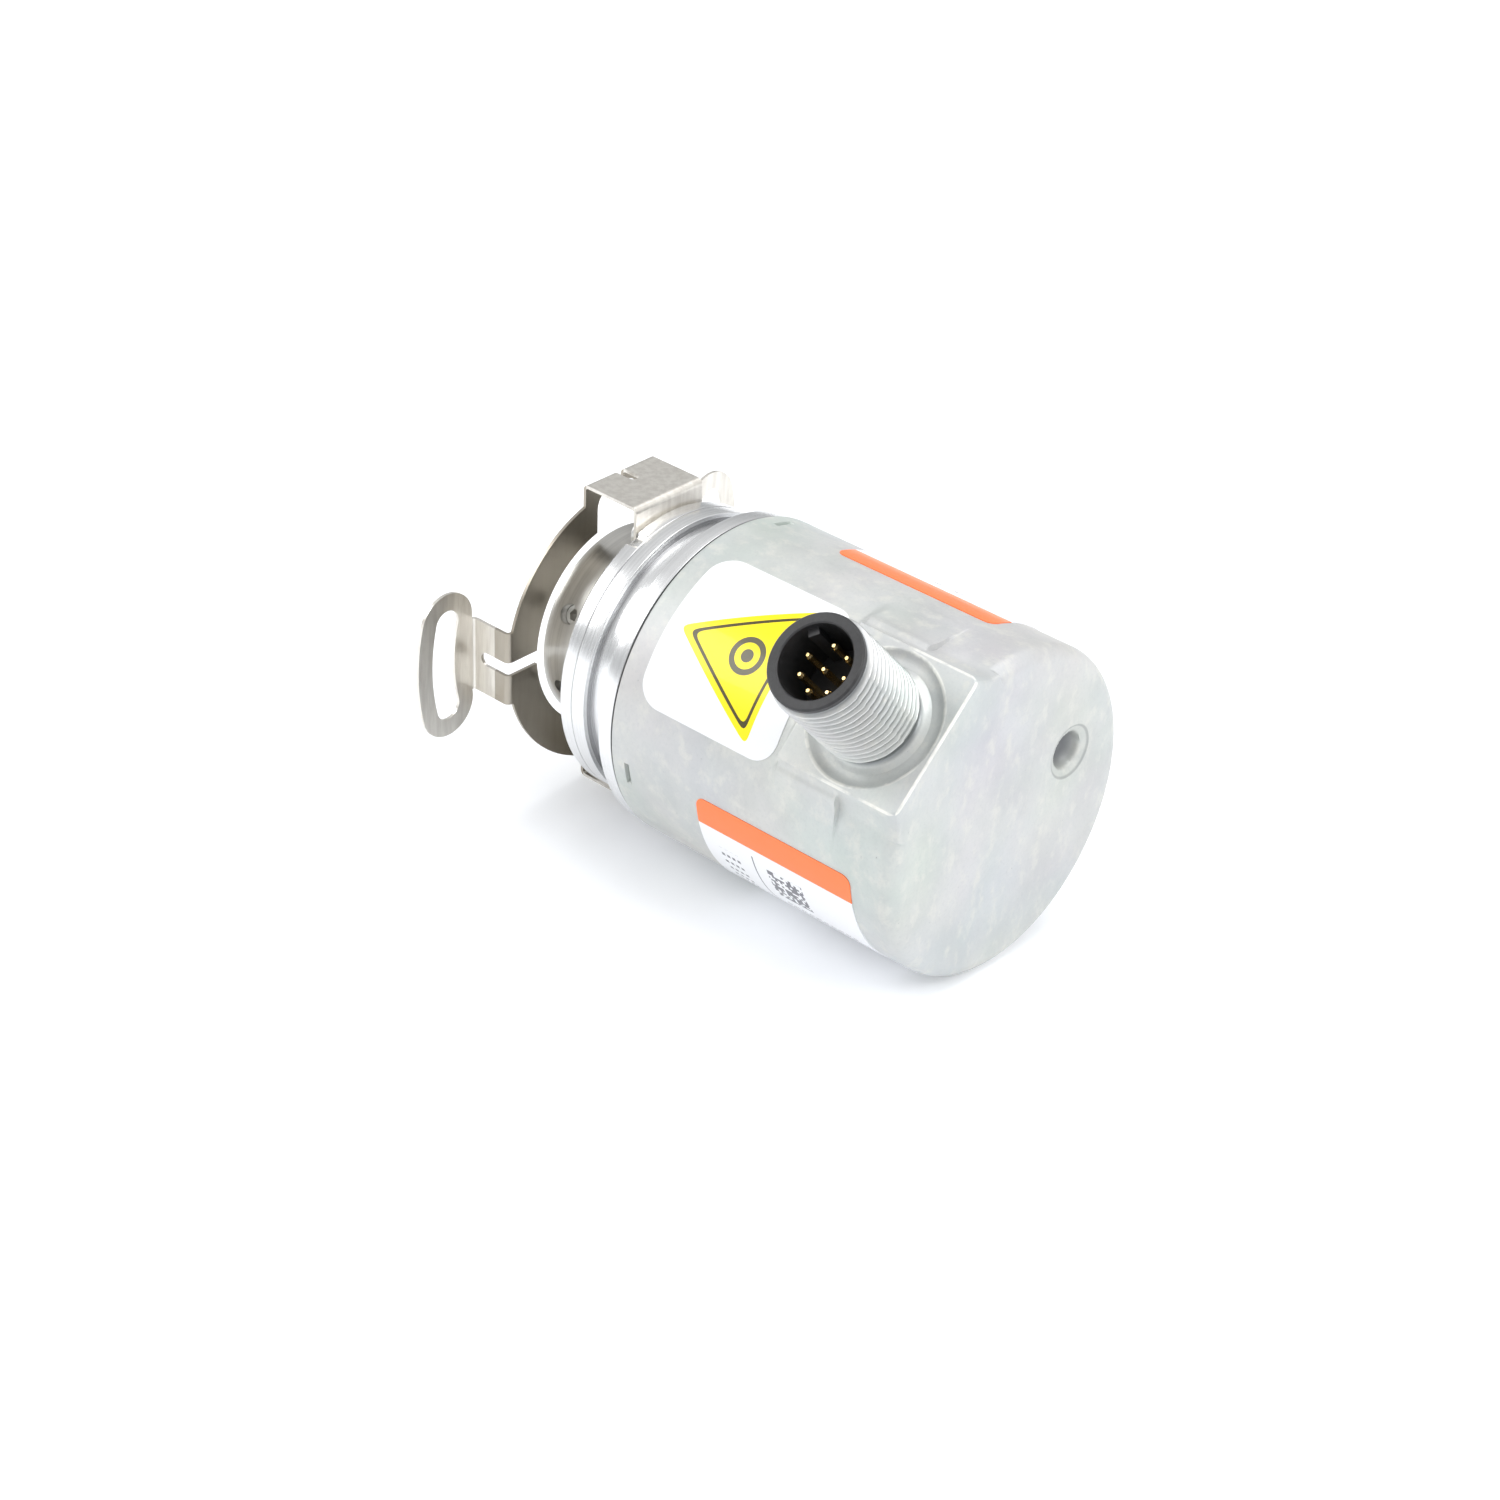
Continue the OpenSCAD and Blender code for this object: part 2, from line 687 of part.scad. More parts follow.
module board_screws() {
    head = interface_x + board_t;
    color("silver") at_posts() difference() {
        union() {
            along_x(interface_x) cylinder(r = post_stud_r, h = board_t + eps);
            along_x(head) cylinder(r = 1.7, h = 1.2);
        }
        translate([head + 0.7, -2, -0.25]) cube([1, 4, 0.5]);
    }
}

module board_link() {
    color("black") rotate([link_angle, 0, 0])
        translate([sensor_x + board_t, board_r - 5.2, -5]) cube([board_gap, 2.5, 10]);
}

module interface_board() { board(interface_x); }

module logic_chips() {
    top = interface_x + board_t;
    color("black") {
        rotate([link_angle, 0, 0]) translate([top, 2.2, -3.5]) cube([1.2, 7, 7]);
        rotate([link_angle, 0, 0]) translate([top, -3, 4.8]) cube([1.4, 4, 5]);
        rotate([link_angle, 0, 0]) translate([top, -3, -9.8]) cube([1.4, 4, 5]);
    }
}

module capacitors() {
    top = interface_x + board_t;
    color("silver") for (a = [link_angle - 43, link_angle + 43])
        rotate([a, 0, 0]) translate([0, board_r - 4.2, 0]) along_x(top) cylinder(r = 2, h = 4.5);
}

// ---- connector ----

module ribbon_socket() {
    color("ivory") rotate([conn_angle, 0, 0])
        translate([interface_x + board_t, ribbon_h - 2, -ribbon_w / 2 - 1]) cube([4, 4, ribbon_w + 2]);
}

module inner_ribbon() {
    start = interface_x + board_t + 4;
    corner = conn_x - ribbon_bend;
    color("slategray") rotate([conn_angle, 0, 0]) {
        translate([start, ribbon_h - ribbon_t / 2, -ribbon_w / 2]) cube([corner - start, ribbon_t, ribbon_w]);
        translate([corner, ribbon_h + ribbon_bend, -ribbon_w / 2]) rotate([0, 0, -90])
            rotate_extrude(angle = 90) translate([ribbon_bend - ribbon_t / 2, 0]) square([ribbon_t, ribbon_w]);
        translate([conn_x - ribbon_t / 2, ribbon_h + ribbon_bend, -ribbon_w / 2])
            cube([ribbon_t, tail_h - ribbon_h - ribbon_bend, ribbon_w]);
    }
}

module tail_board() {
    color("seagreen") on_connector(tail_h) cylinder(r = tail_board_r, h = tail_board_t);
}

module connector_insert() {
    foot = seat_h - 2 * seal_wire_r - insert_flange_len;
    floor_h = conn_h - socket_depth;
    color("#202020") difference() {
        on_connector(0) rotate_extrude() polygon([[0, foot], [insert_flange_r, foot],
            [insert_flange_r, foot + insert_flange_len], [insert_r, foot + insert_flange_len],
            [insert_r, thread_top_h], [rim_r, thread_top_h], [rim_r, conn_h - 0.2],
            [rim_r - 0.2, conn_h], [socket_r + 0.15, conn_h], [socket_r, conn_h - 0.15],
            [socket_r, floor_h], [0, floor_h]]);
        pin_places() cylinder(d = pin_d, h = conn_h);
    }
    // coding rib inside the socket
    color("#202020") on_connector(floor_h) rotate([0, 0, pin_first_angle])
        intersection() {
            translate([socket_r - 0.9, -0.65, -eps]) cube([1.2, 1.3, socket_depth - 0.9]);
            cylinder(r = socket_r + 0.1, h = socket_depth);
        }
}

// The eight contacts: one in the middle and seven around it, with a wide gap at the coding rib
module pin_places() {
    step = (360 - key_gap_angle) / 6;
    on_connector(0) children();
    for (i = [0 : 6])
        on_connector(0) rotate([0, 0, pin_first_angle + key_gap_angle / 2 + i * step])
            translate([pin_circle_d / 2, 0, 0]) children();
}

module connector_pins() {
    tip = conn_h - pin_recess;
    color("gold") pin_places() translate([0, 0, tail_h + tail_board_t]) union() {
        cylinder(d = pin_d, h = tip - 0.3 - tail_h - tail_board_t);
        translate([0, 0, tip - 0.3 - tail_h - tail_board_t])
            cylinder(d1 = pin_d, d2 = pin_d - 0.4, h = 0.3);
    }
}

module insert_seal() {
    color("black") on_connector(seat_h - seal_wire_r) rotate_extrude()
        translate([insert_r + seal_wire_r + 0.08, 0]) circle(seal_wire_r);
}

// ---- labels ----

module label_shell(x, len) {
    ring(body_r, body_r + label_t, x, len);
}

module warning_label() {
    wide = 2 * (body_r + label_t) * sin(label_half_angle);
    x = seam_x + label_from_seam;
    color("white") intersection() {
        label_shell(x - 1, label_len + 2);
        translate([x + label_len / 2, 0, 0]) rotate([conn_angle, 0, 0]) rotate([-90, 0, 0])
            linear_extrude(2 * body_r) rounded_square(label_len, wide, label_corner);
    }
}

// A type label that starts at one angle and runs round the cap
module type_label(from_seam, from) {
    sector(body_r, body_r + label_t, from, from + type_label_angle, seam_x + from_seam, type_label_len);
}

module lower_label() { color("orange") type_label(lower_label_from_seam, lower_label_start); }
module upper_label() {
    color("orange") type_label(upper_label_from_seam, upper_label_end - type_label_angle);
}

housing_cap();
connector_stud();
flange();
cap_seal();
stator_coupling();
coupling_screws();
shaft_seal();
hollow_shaft();
clamp_ring();
clamp_screws();
front_bearing_outer();
front_bearing_inner();
front_bearing_balls();
front_bearing_cage();
rear_bearing_outer();
rear_bearing_inner();
rear_bearing_balls();
rear_bearing_cage();
bearing_shields();
outer_spacer();
inner_spacer();
preload_spring();
retaining_ring();
disc_hub();
code_disc();
disc_nut();
lamp_holder();
lamp();
sensor_board();
sensor_chip();
board_standoffs();
board_spacers();
board_screws();
board_link();
interface_board();
logic_chips();
capacitors();
ribbon_socket();
inner_ribbon();
tail_board();
connector_insert();
connector_pins();
insert_seal();
warning_label();
lower_label();
upper_label();
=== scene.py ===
# %% [markdown]
# # A rotary encoder with a hollow shaft
# The encoder is a round cast cap on a turned flange. A spring sheet with two slotted ears
# holds it to a motor, and a threaded connector with eight gold pins stands on the cap.
# The measured model comes in first. This lesson then gives it skins with soft cast edges,
# a real helical thread, printed films and finishes for every part.

# %% Load the measured model
import json
import math

import bpy
import numpy as np
from mathutils import Matrix, Vector


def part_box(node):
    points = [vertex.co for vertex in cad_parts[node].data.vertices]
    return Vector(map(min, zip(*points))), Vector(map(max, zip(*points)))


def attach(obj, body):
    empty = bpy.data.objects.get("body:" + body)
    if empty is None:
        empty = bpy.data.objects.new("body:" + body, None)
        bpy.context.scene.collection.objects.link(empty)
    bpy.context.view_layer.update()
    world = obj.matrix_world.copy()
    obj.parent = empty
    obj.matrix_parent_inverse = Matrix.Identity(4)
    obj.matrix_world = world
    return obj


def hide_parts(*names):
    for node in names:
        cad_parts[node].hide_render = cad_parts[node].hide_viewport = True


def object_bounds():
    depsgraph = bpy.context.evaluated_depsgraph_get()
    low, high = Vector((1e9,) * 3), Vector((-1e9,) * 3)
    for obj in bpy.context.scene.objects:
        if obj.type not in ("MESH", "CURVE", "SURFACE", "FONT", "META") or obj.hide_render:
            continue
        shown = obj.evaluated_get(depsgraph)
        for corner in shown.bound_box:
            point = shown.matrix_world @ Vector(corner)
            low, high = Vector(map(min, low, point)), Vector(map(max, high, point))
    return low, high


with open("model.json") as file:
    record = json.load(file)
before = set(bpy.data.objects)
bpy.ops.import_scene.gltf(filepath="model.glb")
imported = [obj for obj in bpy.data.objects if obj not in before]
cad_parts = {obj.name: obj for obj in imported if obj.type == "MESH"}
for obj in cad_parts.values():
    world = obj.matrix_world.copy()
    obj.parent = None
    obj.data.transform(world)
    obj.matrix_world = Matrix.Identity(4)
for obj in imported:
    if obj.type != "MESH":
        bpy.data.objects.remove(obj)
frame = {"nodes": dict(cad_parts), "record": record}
cad_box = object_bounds()
nodes = frame["nodes"]
record = frame["record"]
print("nodes:", len(nodes))

# %% [markdown]
# Shapes are worked out in millimetres, because a mechanic thinks in them, and are turned
# into metres when a mesh is made. Lengths that the measured model knows are read from it,
# so that every skin sits exactly where its solid is.

# %% Stations and radii read from the model
METRE = 0.001
SEAL_GAP = 0.25


def box_mm(name):
    """The lowest and highest corner of a node, in millimetres."""
    low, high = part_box(name)
    return np.array(low) / METRE, np.array(high) / METRE


cap_low, cap_high = box_mm("housing_cap")
flange_low = box_mm("flange")[0]
CAP_START = cap_low[0]
CAP_END = cap_high[0]
CAP_R = cap_high[1]
SEAM = CAP_START - SEAL_GAP
mounts = {m["name"]: m for m in record["mounts"]}
CONNECTOR_X = mounts["connector_thread"]["pos_m"][0] / METRE
THREAD_R = mounts["connector_thread"]["dims"]["r_mm"]
CONNECTOR_ANGLE = math.radians(135)
print("cap from", round(CAP_START, 2), "to", round(CAP_END, 2), "radius", round(CAP_R, 2))

# %% [markdown]
# ## Meshes from two parameters
# Each new skin is a grid: one parameter runs along a profile, the other goes round. A grid of
# points becomes a mesh of four-sided faces, and the last column is joined to the first one
# where the skin closes on itself. Doing it with whole arrays is quick and leaves no gaps.

# %% Grid helpers


def grid_faces(rows, cols, closed):
    """Corner numbers of the faces of a grid; closed joins the last column to the first."""
    i = np.arange(rows - 1)[:, None]
    j = np.arange(cols if closed else cols - 1)[None, :]
    nxt = (j + 1) % cols
    here, above = i * cols, (i + 1) * cols
    return np.stack([here + j, here + nxt, above + nxt, above + j], -1).reshape(-1, 4)


def mesh_object(name, points, faces, flip=False, sharp=None):
    """A mesh object at the origin from points in millimetres; sharp is an angle in degrees."""
    mesh = bpy.data.meshes.new(name)
    order = faces[:, ::-1] if flip else faces
    mesh.from_pydata((points.reshape(-1, 3) * METRE).tolist(), [], order.tolist())
    mesh.polygons.foreach_set("use_smooth", np.ones(len(order), dtype=bool))
    if sharp is not None:
        mesh.set_sharp_from_angle(angle=math.radians(sharp))
    mesh.update()
    piece = bpy.data.objects.new(name, mesh)
    bpy.context.scene.collection.objects.link(piece)
    return piece


def cylinder_points(x, r, angle):
    """Points at station x, radius r and angle, where the angle goes from +Y towards +Z."""
    return np.stack(np.broadcast_arrays(x, r * np.cos(angle), r * np.sin(angle)), -1)


def ease(t):
    """Nought to one with a soft start and end."""
    t = np.clip(t, 0, 1)
    return t * t * (3 - 2 * t)


def add_uv(piece, u, v):
    """Stores two values of every vertex, in millimetres, as the mesh's UV map."""
    mesh = piece.data
    corner = np.empty(len(mesh.loops), dtype=np.int32)
    mesh.loops.foreach_get("vertex_index", corner)
    layer = mesh.uv_layers.new(name="film")
    layer.data.foreach_set("uv", np.stack([u.ravel()[corner], v.ravel()[corner]], -1).ravel())


# %% [markdown]
# ## The cast cap
# The real cap is die-cast in zinc: molten metal fills a steel mould, so every inner corner has
# a fillet and the round wall carries faint marks of the mould's halves. A skin that gives each
# point of the round wall its own radius can hold all of that. The pad under the connector is a
# plane that rises out of the cylinder and meets it in a hollow sweep.

# %% Where the cap's rows and columns go
# lengths are in millimetres, and the flats and slots are placed from the seam
WALL = 2.0
END_WALL = 2.5
END_ROUND = 1.8
LIP = 0.22
PAD_FRONT = 8.3
PAD_HALF_W = 8.7
PAD_CORNER = 1.4
PAD_EDGE = 0.28
PAD_TOP = CAP_R
FOOT = 4.0
FOOT_END = math.radians(33.2)
SPOT_R = 8.15
SPOT_DEPTH = 0.5
FLAT_ANGLE = math.radians(46)
FLAT_START, FLAT_END = 23.6, 33.92
FLAT_DROP = 0.05
DIE_STEP = 0.06
SLOT_X, SLOT_HALF_W, SLOT_DEPTH = 2.6, 0.42, 0.6
SLOT_ANGLES = (math.radians(58.5), math.radians(121.5))
SLOT_HALF_TURN = math.radians(4.4)
DIMPLE = (10.3, 4.3)
DIMPLE_R, BEVEL_DEPTH = 3.3, 0.5
HOLE_R, HOLE_DEPTH = 2.3, 1.7
WAVE = 0.03


def spread(start, stop, step):
    """Evenly spaced values from start up to but not including stop, about step apart."""
    return np.linspace(start, stop, max(2, round(abs(stop - start) / step)) + 1)[:-1]


def cap_columns():
    """Angles from the connector: close together on the pad and by the dimple, wide elsewhere."""
    degrees = np.concatenate([spread(-35, 35, 0.36), spread(35, 70, 0.8), spread(70, 222, 2.2),
                              spread(222, 262, 0.7), spread(262, 290, 2.0), spread(290, 325, 0.8)])
    return np.radians(degrees)


def cap_profile():
    """Stations and radii of a plain cap, from the middle of its end wall's inside, along the
    inside to its mouth, over the lip, along the outside and to the middle of the closed end."""
    edge = CAP_END - END_ROUND
    turn = np.linspace(0, math.pi / 2, 22)[1:]
    inside = CAP_R - WALL
    inner = np.array([[CAP_END - END_WALL, 0.02], [CAP_END - END_WALL, inside], [CAP_START + 3, inside],
                      [CAP_START + 0.1, inside], [CAP_START, inside + 0.1]])
    lip = np.array([[CAP_START, CAP_R - LIP], [CAP_START + 0.06, CAP_R - 0.08], [CAP_START + LIP, CAP_R]])
    wall = np.concatenate([spread(CAP_START + 0.5, SEAM + 1.9, 0.7), spread(SEAM + 1.9, SEAM + 3.3, 0.1),
                           spread(SEAM + 3.3, SEAM + 23, 1.6), spread(SEAM + 23, SEAM + 27.6, 0.16),
                           spread(SEAM + 27.6, SEAM + 33.3, 0.3), spread(SEAM + 33.3, SEAM + 34.4, 0.08),
                           spread(SEAM + 34.4, edge, 0.24), [edge]])
    wall = np.stack([wall, np.full(len(wall), CAP_R)], -1)
    corner = np.stack([edge + END_ROUND * np.sin(turn), CAP_R - END_ROUND + END_ROUND * np.cos(turn)], -1)
    radii = np.concatenate([spread(CAP_R - END_ROUND - 0.4, 14.9, 0.6), spread(14.9, 7.5, 0.13),
                            spread(7.5, 0.4, 0.7), [0.02]])
    face = np.stack([np.full(len(radii), CAP_END), radii], -1)
    rows = [len(inner) + len(lip) + len(wall), len(corner)]
    return np.concatenate([inner, lip, wall, corner, face]), rows


# %% [markdown]
# The outline of the pad is a rounded rectangle. Its signed distance, less than nought inside,
# says how far a point is from the edge, and the rise of the pad fades with it. The fade is
# steep at the top and long at the foot, which gives the hollow sweep of a cast fillet.

# %% The cap's relief


def pad_distance(x, side):
    """Signed distance from the rounded rectangle of the pad, x along the shaft and side across;
    in front of the pad it grows four times as fast, so that the sweep is short there."""
    qx = x - CONNECTOR_X
    qx = np.where(qx < 0, (-qx - PAD_FRONT) * 4.4, qx - (CAP_END - CONNECTOR_X)) + PAD_CORNER
    qs = np.abs(side) - PAD_HALF_W + PAD_CORNER
    outside = np.hypot(np.maximum(qx, 0), np.maximum(qs, 0))
    return outside + np.minimum(np.maximum(qx, qs), 0) - PAD_CORNER


def wall_radius(x, phi):
    """The round wall: a circle, the die's flats that stand a little proud of it, and the crimp
    slots near the mouth. A flat's radius is its height over the cosine of the angle from its
    middle, and soft steps bring each feature in and out."""
    turn = np.abs(phi)
    lean = FLAT_ANGLE - turn
    flat = (CAP_R - FLAT_DROP) / np.cos(np.clip(lean, 0, 0.33))
    before_end = ease((SEAM + FLAT_END - x) / 0.14)
    along = ease((x - SEAM - FLAT_START) / 1.6) * before_end
    r = CAP_R + np.maximum(flat - CAP_R, 0) * along * (lean > 0) * ease((turn - 0.42) / 0.08)
    beside = ease((lean + 0.012) / 0.012) * ease((turn - 0.53) / 0.15)
    r = r + DIE_STEP * ease((x - SEAM - 3) / 3) * before_end * beside
    slot_x = ease((SLOT_HALF_W - np.abs(x - SEAM - SLOT_X)) / 0.12)
    off_slot = np.minimum(np.abs(turn - SLOT_ANGLES[0]), np.abs(turn - SLOT_ANGLES[1]))
    slot_a = ease((SLOT_HALF_TURN - off_slot) / math.radians(0.9))
    return r - SLOT_DEPTH * slot_x * slot_a


def cap_radius(x, phi):
    """Radius of the outside before its end is rounded: the wall raised to the pad's plane, with
    the round spot face sunk in that plane."""
    base = wall_radius(x, phi)
    near = np.clip(np.abs(phi), 0, math.radians(60))
    away = pad_distance(x, PAD_TOP * np.tan(near))
    sweep = np.clip(1 - away / FOOT, 0, 1) ** 2.8
    raised = base + (PAD_TOP / np.cos(near) - base) * sweep
    reach = np.hypot(x - CONNECTOR_X, raised * np.sin(near))
    sink = 1 - (1 - np.clip((SPOT_R - reach) / 1.25, 0, 1)) ** 2.2
    floor = (PAD_TOP - SPOT_DEPTH * sink) / np.cos(near)
    return np.where(reach < SPOT_R, np.minimum(raised, floor), raised)


def make_cap():
    """The cap: the profile's rows times the columns round it. Each row of the wall takes its
    radius from the relief; beside the pad the end's big round gives way to a sharp edge."""
    profile, (wall_rows, corner_rows) = cap_profile()
    phi = cap_columns()[None, :]
    wrapped = (phi + math.pi) % (2 * math.pi) - math.pi
    x = profile[:, :1] + 0 * phi
    r = profile[:, 1:] + 0 * phi
    on_wall = (np.arange(len(profile)) < wall_rows)[:, None] & (r > CAP_R - 0.01)
    r = np.where(on_wall, cap_radius(x, wrapped), r)
    straight = np.linspace(CAP_END - END_ROUND, CAP_END - PAD_EDGE, 15)[1:]
    t = np.linspace(0, math.pi / 2, corner_rows - len(straight) + 1)[1:]
    sharp_x = np.concatenate([straight, CAP_END - PAD_EDGE + PAD_EDGE * np.sin(t)])[:, None]
    lost = np.concatenate([0 * straight, PAD_EDGE - PAD_EDGE * np.cos(t)])[:, None]
    sharp = ease((FOOT_END - np.abs(wrapped)) / math.radians(1.2))
    rows = slice(wall_rows, wall_rows + corner_rows)
    r[rows] = r[rows] * (1 - sharp) + (cap_radius(sharp_x + 0 * phi, wrapped) - lost) * sharp
    x[rows] = x[rows] * (1 - sharp) + sharp_x * sharp
    points = cylinder_points(x, r, phi + CONNECTOR_ANGLE)
    # the blind dimple in the closed end: a bevelled rim, then a round-bottomed hole
    d = np.hypot(points[..., 1] - DIMPLE[0], points[..., 2] - DIMPLE[1])
    face = np.arange(len(profile))[:, None] >= wall_rows + corner_rows
    bevel = BEVEL_DEPTH * np.clip((DIMPLE_R - d) / 0.9, 0, 1) ** 0.8
    bowl = bevel + HOLE_DEPTH * np.sqrt(np.clip(1 - (d / HOLE_R) ** 2, 0, 1))
    wave = WAVE * np.sin(points[..., 1] * 0.42 + 1.1) * np.cos(points[..., 2] * 0.37) - WAVE
    points[..., 0] += np.where(face, wave * ease((16.5 - r) / 4) - bowl, 0)
    faces = grid_faces(len(profile), phi.shape[1], True)
    cap = mesh_object("cap_skin", points, faces, flip=True, sharp=55)
    print("cap faces:", len(faces))
    return cap


cap = make_cap()
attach(cap, "housing")
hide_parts("housing_cap")

# %% [markdown]
# ## The connector's thread
# The stud on the pad is cast with its thread and then chased. A thread is one groove that
# climbs a pitch for each turn, so the radius depends on height minus the turn. Where the two
# halves of the mould meet, the crests are flattened in a narrow strip, as on real cast threads.

# %% Helpers for things on the connector's axis


def connector_points(h, r, angle):
    """Points round the connector's axis: h outwards from the shaft's axis, angle from +X."""
    out = np.array([0, math.cos(CONNECTOR_ANGLE), math.sin(CONNECTOR_ANGLE)])
    across = np.array([0, math.sin(CONNECTOR_ANGLE), -math.cos(CONNECTOR_ANGLE)])
    h, r, angle = np.broadcast_arrays(h, r, angle)
    centre = np.array([CONNECTOR_X, 0, 0])
    return (centre + h[..., None] * out + (r * np.cos(angle))[..., None] * np.array([1.0, 0, 0])
            + (r * np.sin(angle))[..., None] * across)


PITCH = 1.0
STUD_FOOT = PAD_TOP - SPOT_DEPTH - 0.05
THREAD_FOOT = PAD_TOP + 1.2
THREAD_TOP = 34.6
RELIEF_R = 5.25
STUD_BORE = 4.9
THREAD_DEPTH = 0.62
CREST_CUT = 0.16
ROOT_R = THREAD_R - THREAD_DEPTH


def thread_radius(h, angle):
    """Radius of the thread at a height and angle: a rounded ridge once per pitch along a helix."""
    phase = ((h - THREAD_FOOT) / PITCH + angle / (2 * math.pi)) % 1
    ridge = np.clip(1.25 - np.abs(phase - 0.5) * 2.9, 0, 1)
    grow = ease((h - THREAD_FOOT + 0.2) / 0.8) * ease((THREAD_TOP - 0.15 - h) / 0.6)
    r = ROOT_R + (THREAD_R - ROOT_R) * ridge * grow
    parting = np.abs((angle + math.pi / 2) % math.pi - math.pi / 2)
    flat = THREAD_R - CREST_CUT + CREST_CUT * ease((parting - 0.16) / 0.06)
    unevenness = 0.03 * np.sin(angle * 9 + h * 2.1) * np.sin(angle * 4 - h * 1.3) - 0.03
    return np.minimum(r + unevenness * ridge, flat)


def make_thread():
    """The stud: a hollow foot, relief neck, helical thread and top, closed by its bore."""
    angle = np.linspace(0, 2 * math.pi, 181)[:-1][None, :]
    neck = np.linspace(STUD_FOOT, THREAD_FOOT - 0.3, 14)
    foot_r = RELIEF_R + 1.35 * np.clip(1 - (neck - STUD_FOOT) / 1.0, 0, 1) ** 2.4
    climb = spread(THREAD_FOOT - 0.2, THREAD_TOP - 0.05, 0.05)
    h = np.concatenate([neck, climb])[:, None]
    r = np.concatenate([foot_r[:, None] + 0 * angle, thread_radius(climb[:, None], angle)])
    ends = connector_points(np.array([THREAD_TOP, THREAD_TOP, STUD_FOOT, STUD_FOOT])[:, None],
                            np.array([ROOT_R - 0.05, STUD_BORE, STUD_BORE, foot_r[0]])[:, None], angle)
    points = np.concatenate([connector_points(h, r, angle), ends])
    faces = grid_faces(len(points), angle.shape[1], True)
    stud = mesh_object("connector_skin", points, faces, sharp=60)
    print("stud faces:", len(faces))
    return stud


stud = make_thread()
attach(stud, "housing")
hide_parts("connector_stud")

# %% [markdown]
# ## The turned flange
# The flange is cut on a lathe, so its skin is one profile carried round the shaft's axis. Sharp
# turned edges still break to a fine chamfer, and that thin line is what catches the light.

# %% The flange's profile
FRONT = flange_low[0]
RIM_R = CAP_R - 1.95
GROOVE_R = RIM_R - 1.25
REAR_R = CAP_R - 0.2
RIM_END = FRONT + 4.2
REAR_START = SEAM - 2.0
SCRIBED = FRONT + 2.2
FLANGE_BORE = 10.3
SEAT_R = 12.8
SPIGOT_R = CAP_R - WALL - 0.05
SPIGOT_END = SEAM + 7.5
TOOL_MARK, NOTCH = 120, 113.5


def broken_edges(corners, size, steps=4):
    """A profile whose corners are each rounded by a short arc of about the given size."""
    made = [np.array(corners[0], float)[None, :]]
    t = np.linspace(0, 1, steps + 1)[:, None]
    for before, corner, after in zip(corners[:-2], corners[1:-1], corners[2:]):
        before, corner, after = (np.array(p, float) for p in (before, corner, after))
        a = corner + (before - corner) * min(0.45, size / np.linalg.norm(before - corner))
        b = corner + (after - corner) * min(0.45, size / np.linalg.norm(after - corner))
        made.append((1 - t) ** 2 * a + 2 * t * (1 - t) * corner + t ** 2 * b)
    made.append(np.array(corners[-1], float)[None, :])
    return np.concatenate(made)


def make_flange():
    """The flange's outside: the profile's rows round the axis, with two small tool marks cut in."""
    corners = [(FRONT + 1.6, SEAT_R), (FRONT + 1.6, FLANGE_BORE), (FRONT, FLANGE_BORE), (FRONT, RIM_R - 0.45),
               (FRONT + 0.45, RIM_R), (SCRIBED - 0.1, RIM_R), (SCRIBED, RIM_R - 0.06), (SCRIBED + 0.1, RIM_R),
               (RIM_END, RIM_R), (RIM_END, GROOVE_R), (REAR_START, GROOVE_R), (REAR_START, REAR_R),
               (SEAM, REAR_R), (SEAM, SPIGOT_R), (SPIGOT_END, SPIGOT_R), (SPIGOT_END, SEAT_R),
               (FRONT + 1.6, SEAT_R)]
    profile = broken_edges(corners, 0.1)
    turns = np.concatenate([spread(0, 108, 1.5), spread(108, 124, 0.4), spread(124, 360, 1.5)])
    angle = np.radians(turns)[None, :]
    x = profile[:, :1] + 0 * angle
    r = profile[:, 1:] + 0 * angle
    degrees = np.degrees(angle)
    mark_x = ease((0.7 - np.abs(x - REAR_START + 1.2)) / 0.2)
    groove_mark = ease((1.5 - np.abs(degrees - TOOL_MARK)) / 0.4) * mark_x
    r = np.where(np.abs(r - GROOVE_R) < 0.01, r - 0.3 * groove_mark, r)
    front_notch = ease((3.3 - np.abs(degrees - NOTCH)) / 0.8) * ease((FRONT + 0.9 - x) / 0.2)
    r = np.where((r > RIM_R - 0.6) & (x < FRONT + 2), r - 0.5 * front_notch, r)
    points = cylinder_points(x, r, angle)
    faces = grid_faces(len(profile), angle.shape[1], True)
    skin = mesh_object("flange_skin", points, faces, flip=True, sharp=50)
    print("flange faces:", len(faces))
    return skin


flange = make_flange()
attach(flange, "housing")
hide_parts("flange")

# %% [markdown]
# ## Printed films
# Labels are thin films that follow the round wall. Each one is a grid in two lengths, along the
# shaft and round the wall, whose ends draw in where the corners are rounded. The same two
# lengths are stored as a UV map, in millimetres, so that the print can be drawn by a formula.

# %% Films on the cap
FILM_T = 0.09
FILM_SINK = 0.03


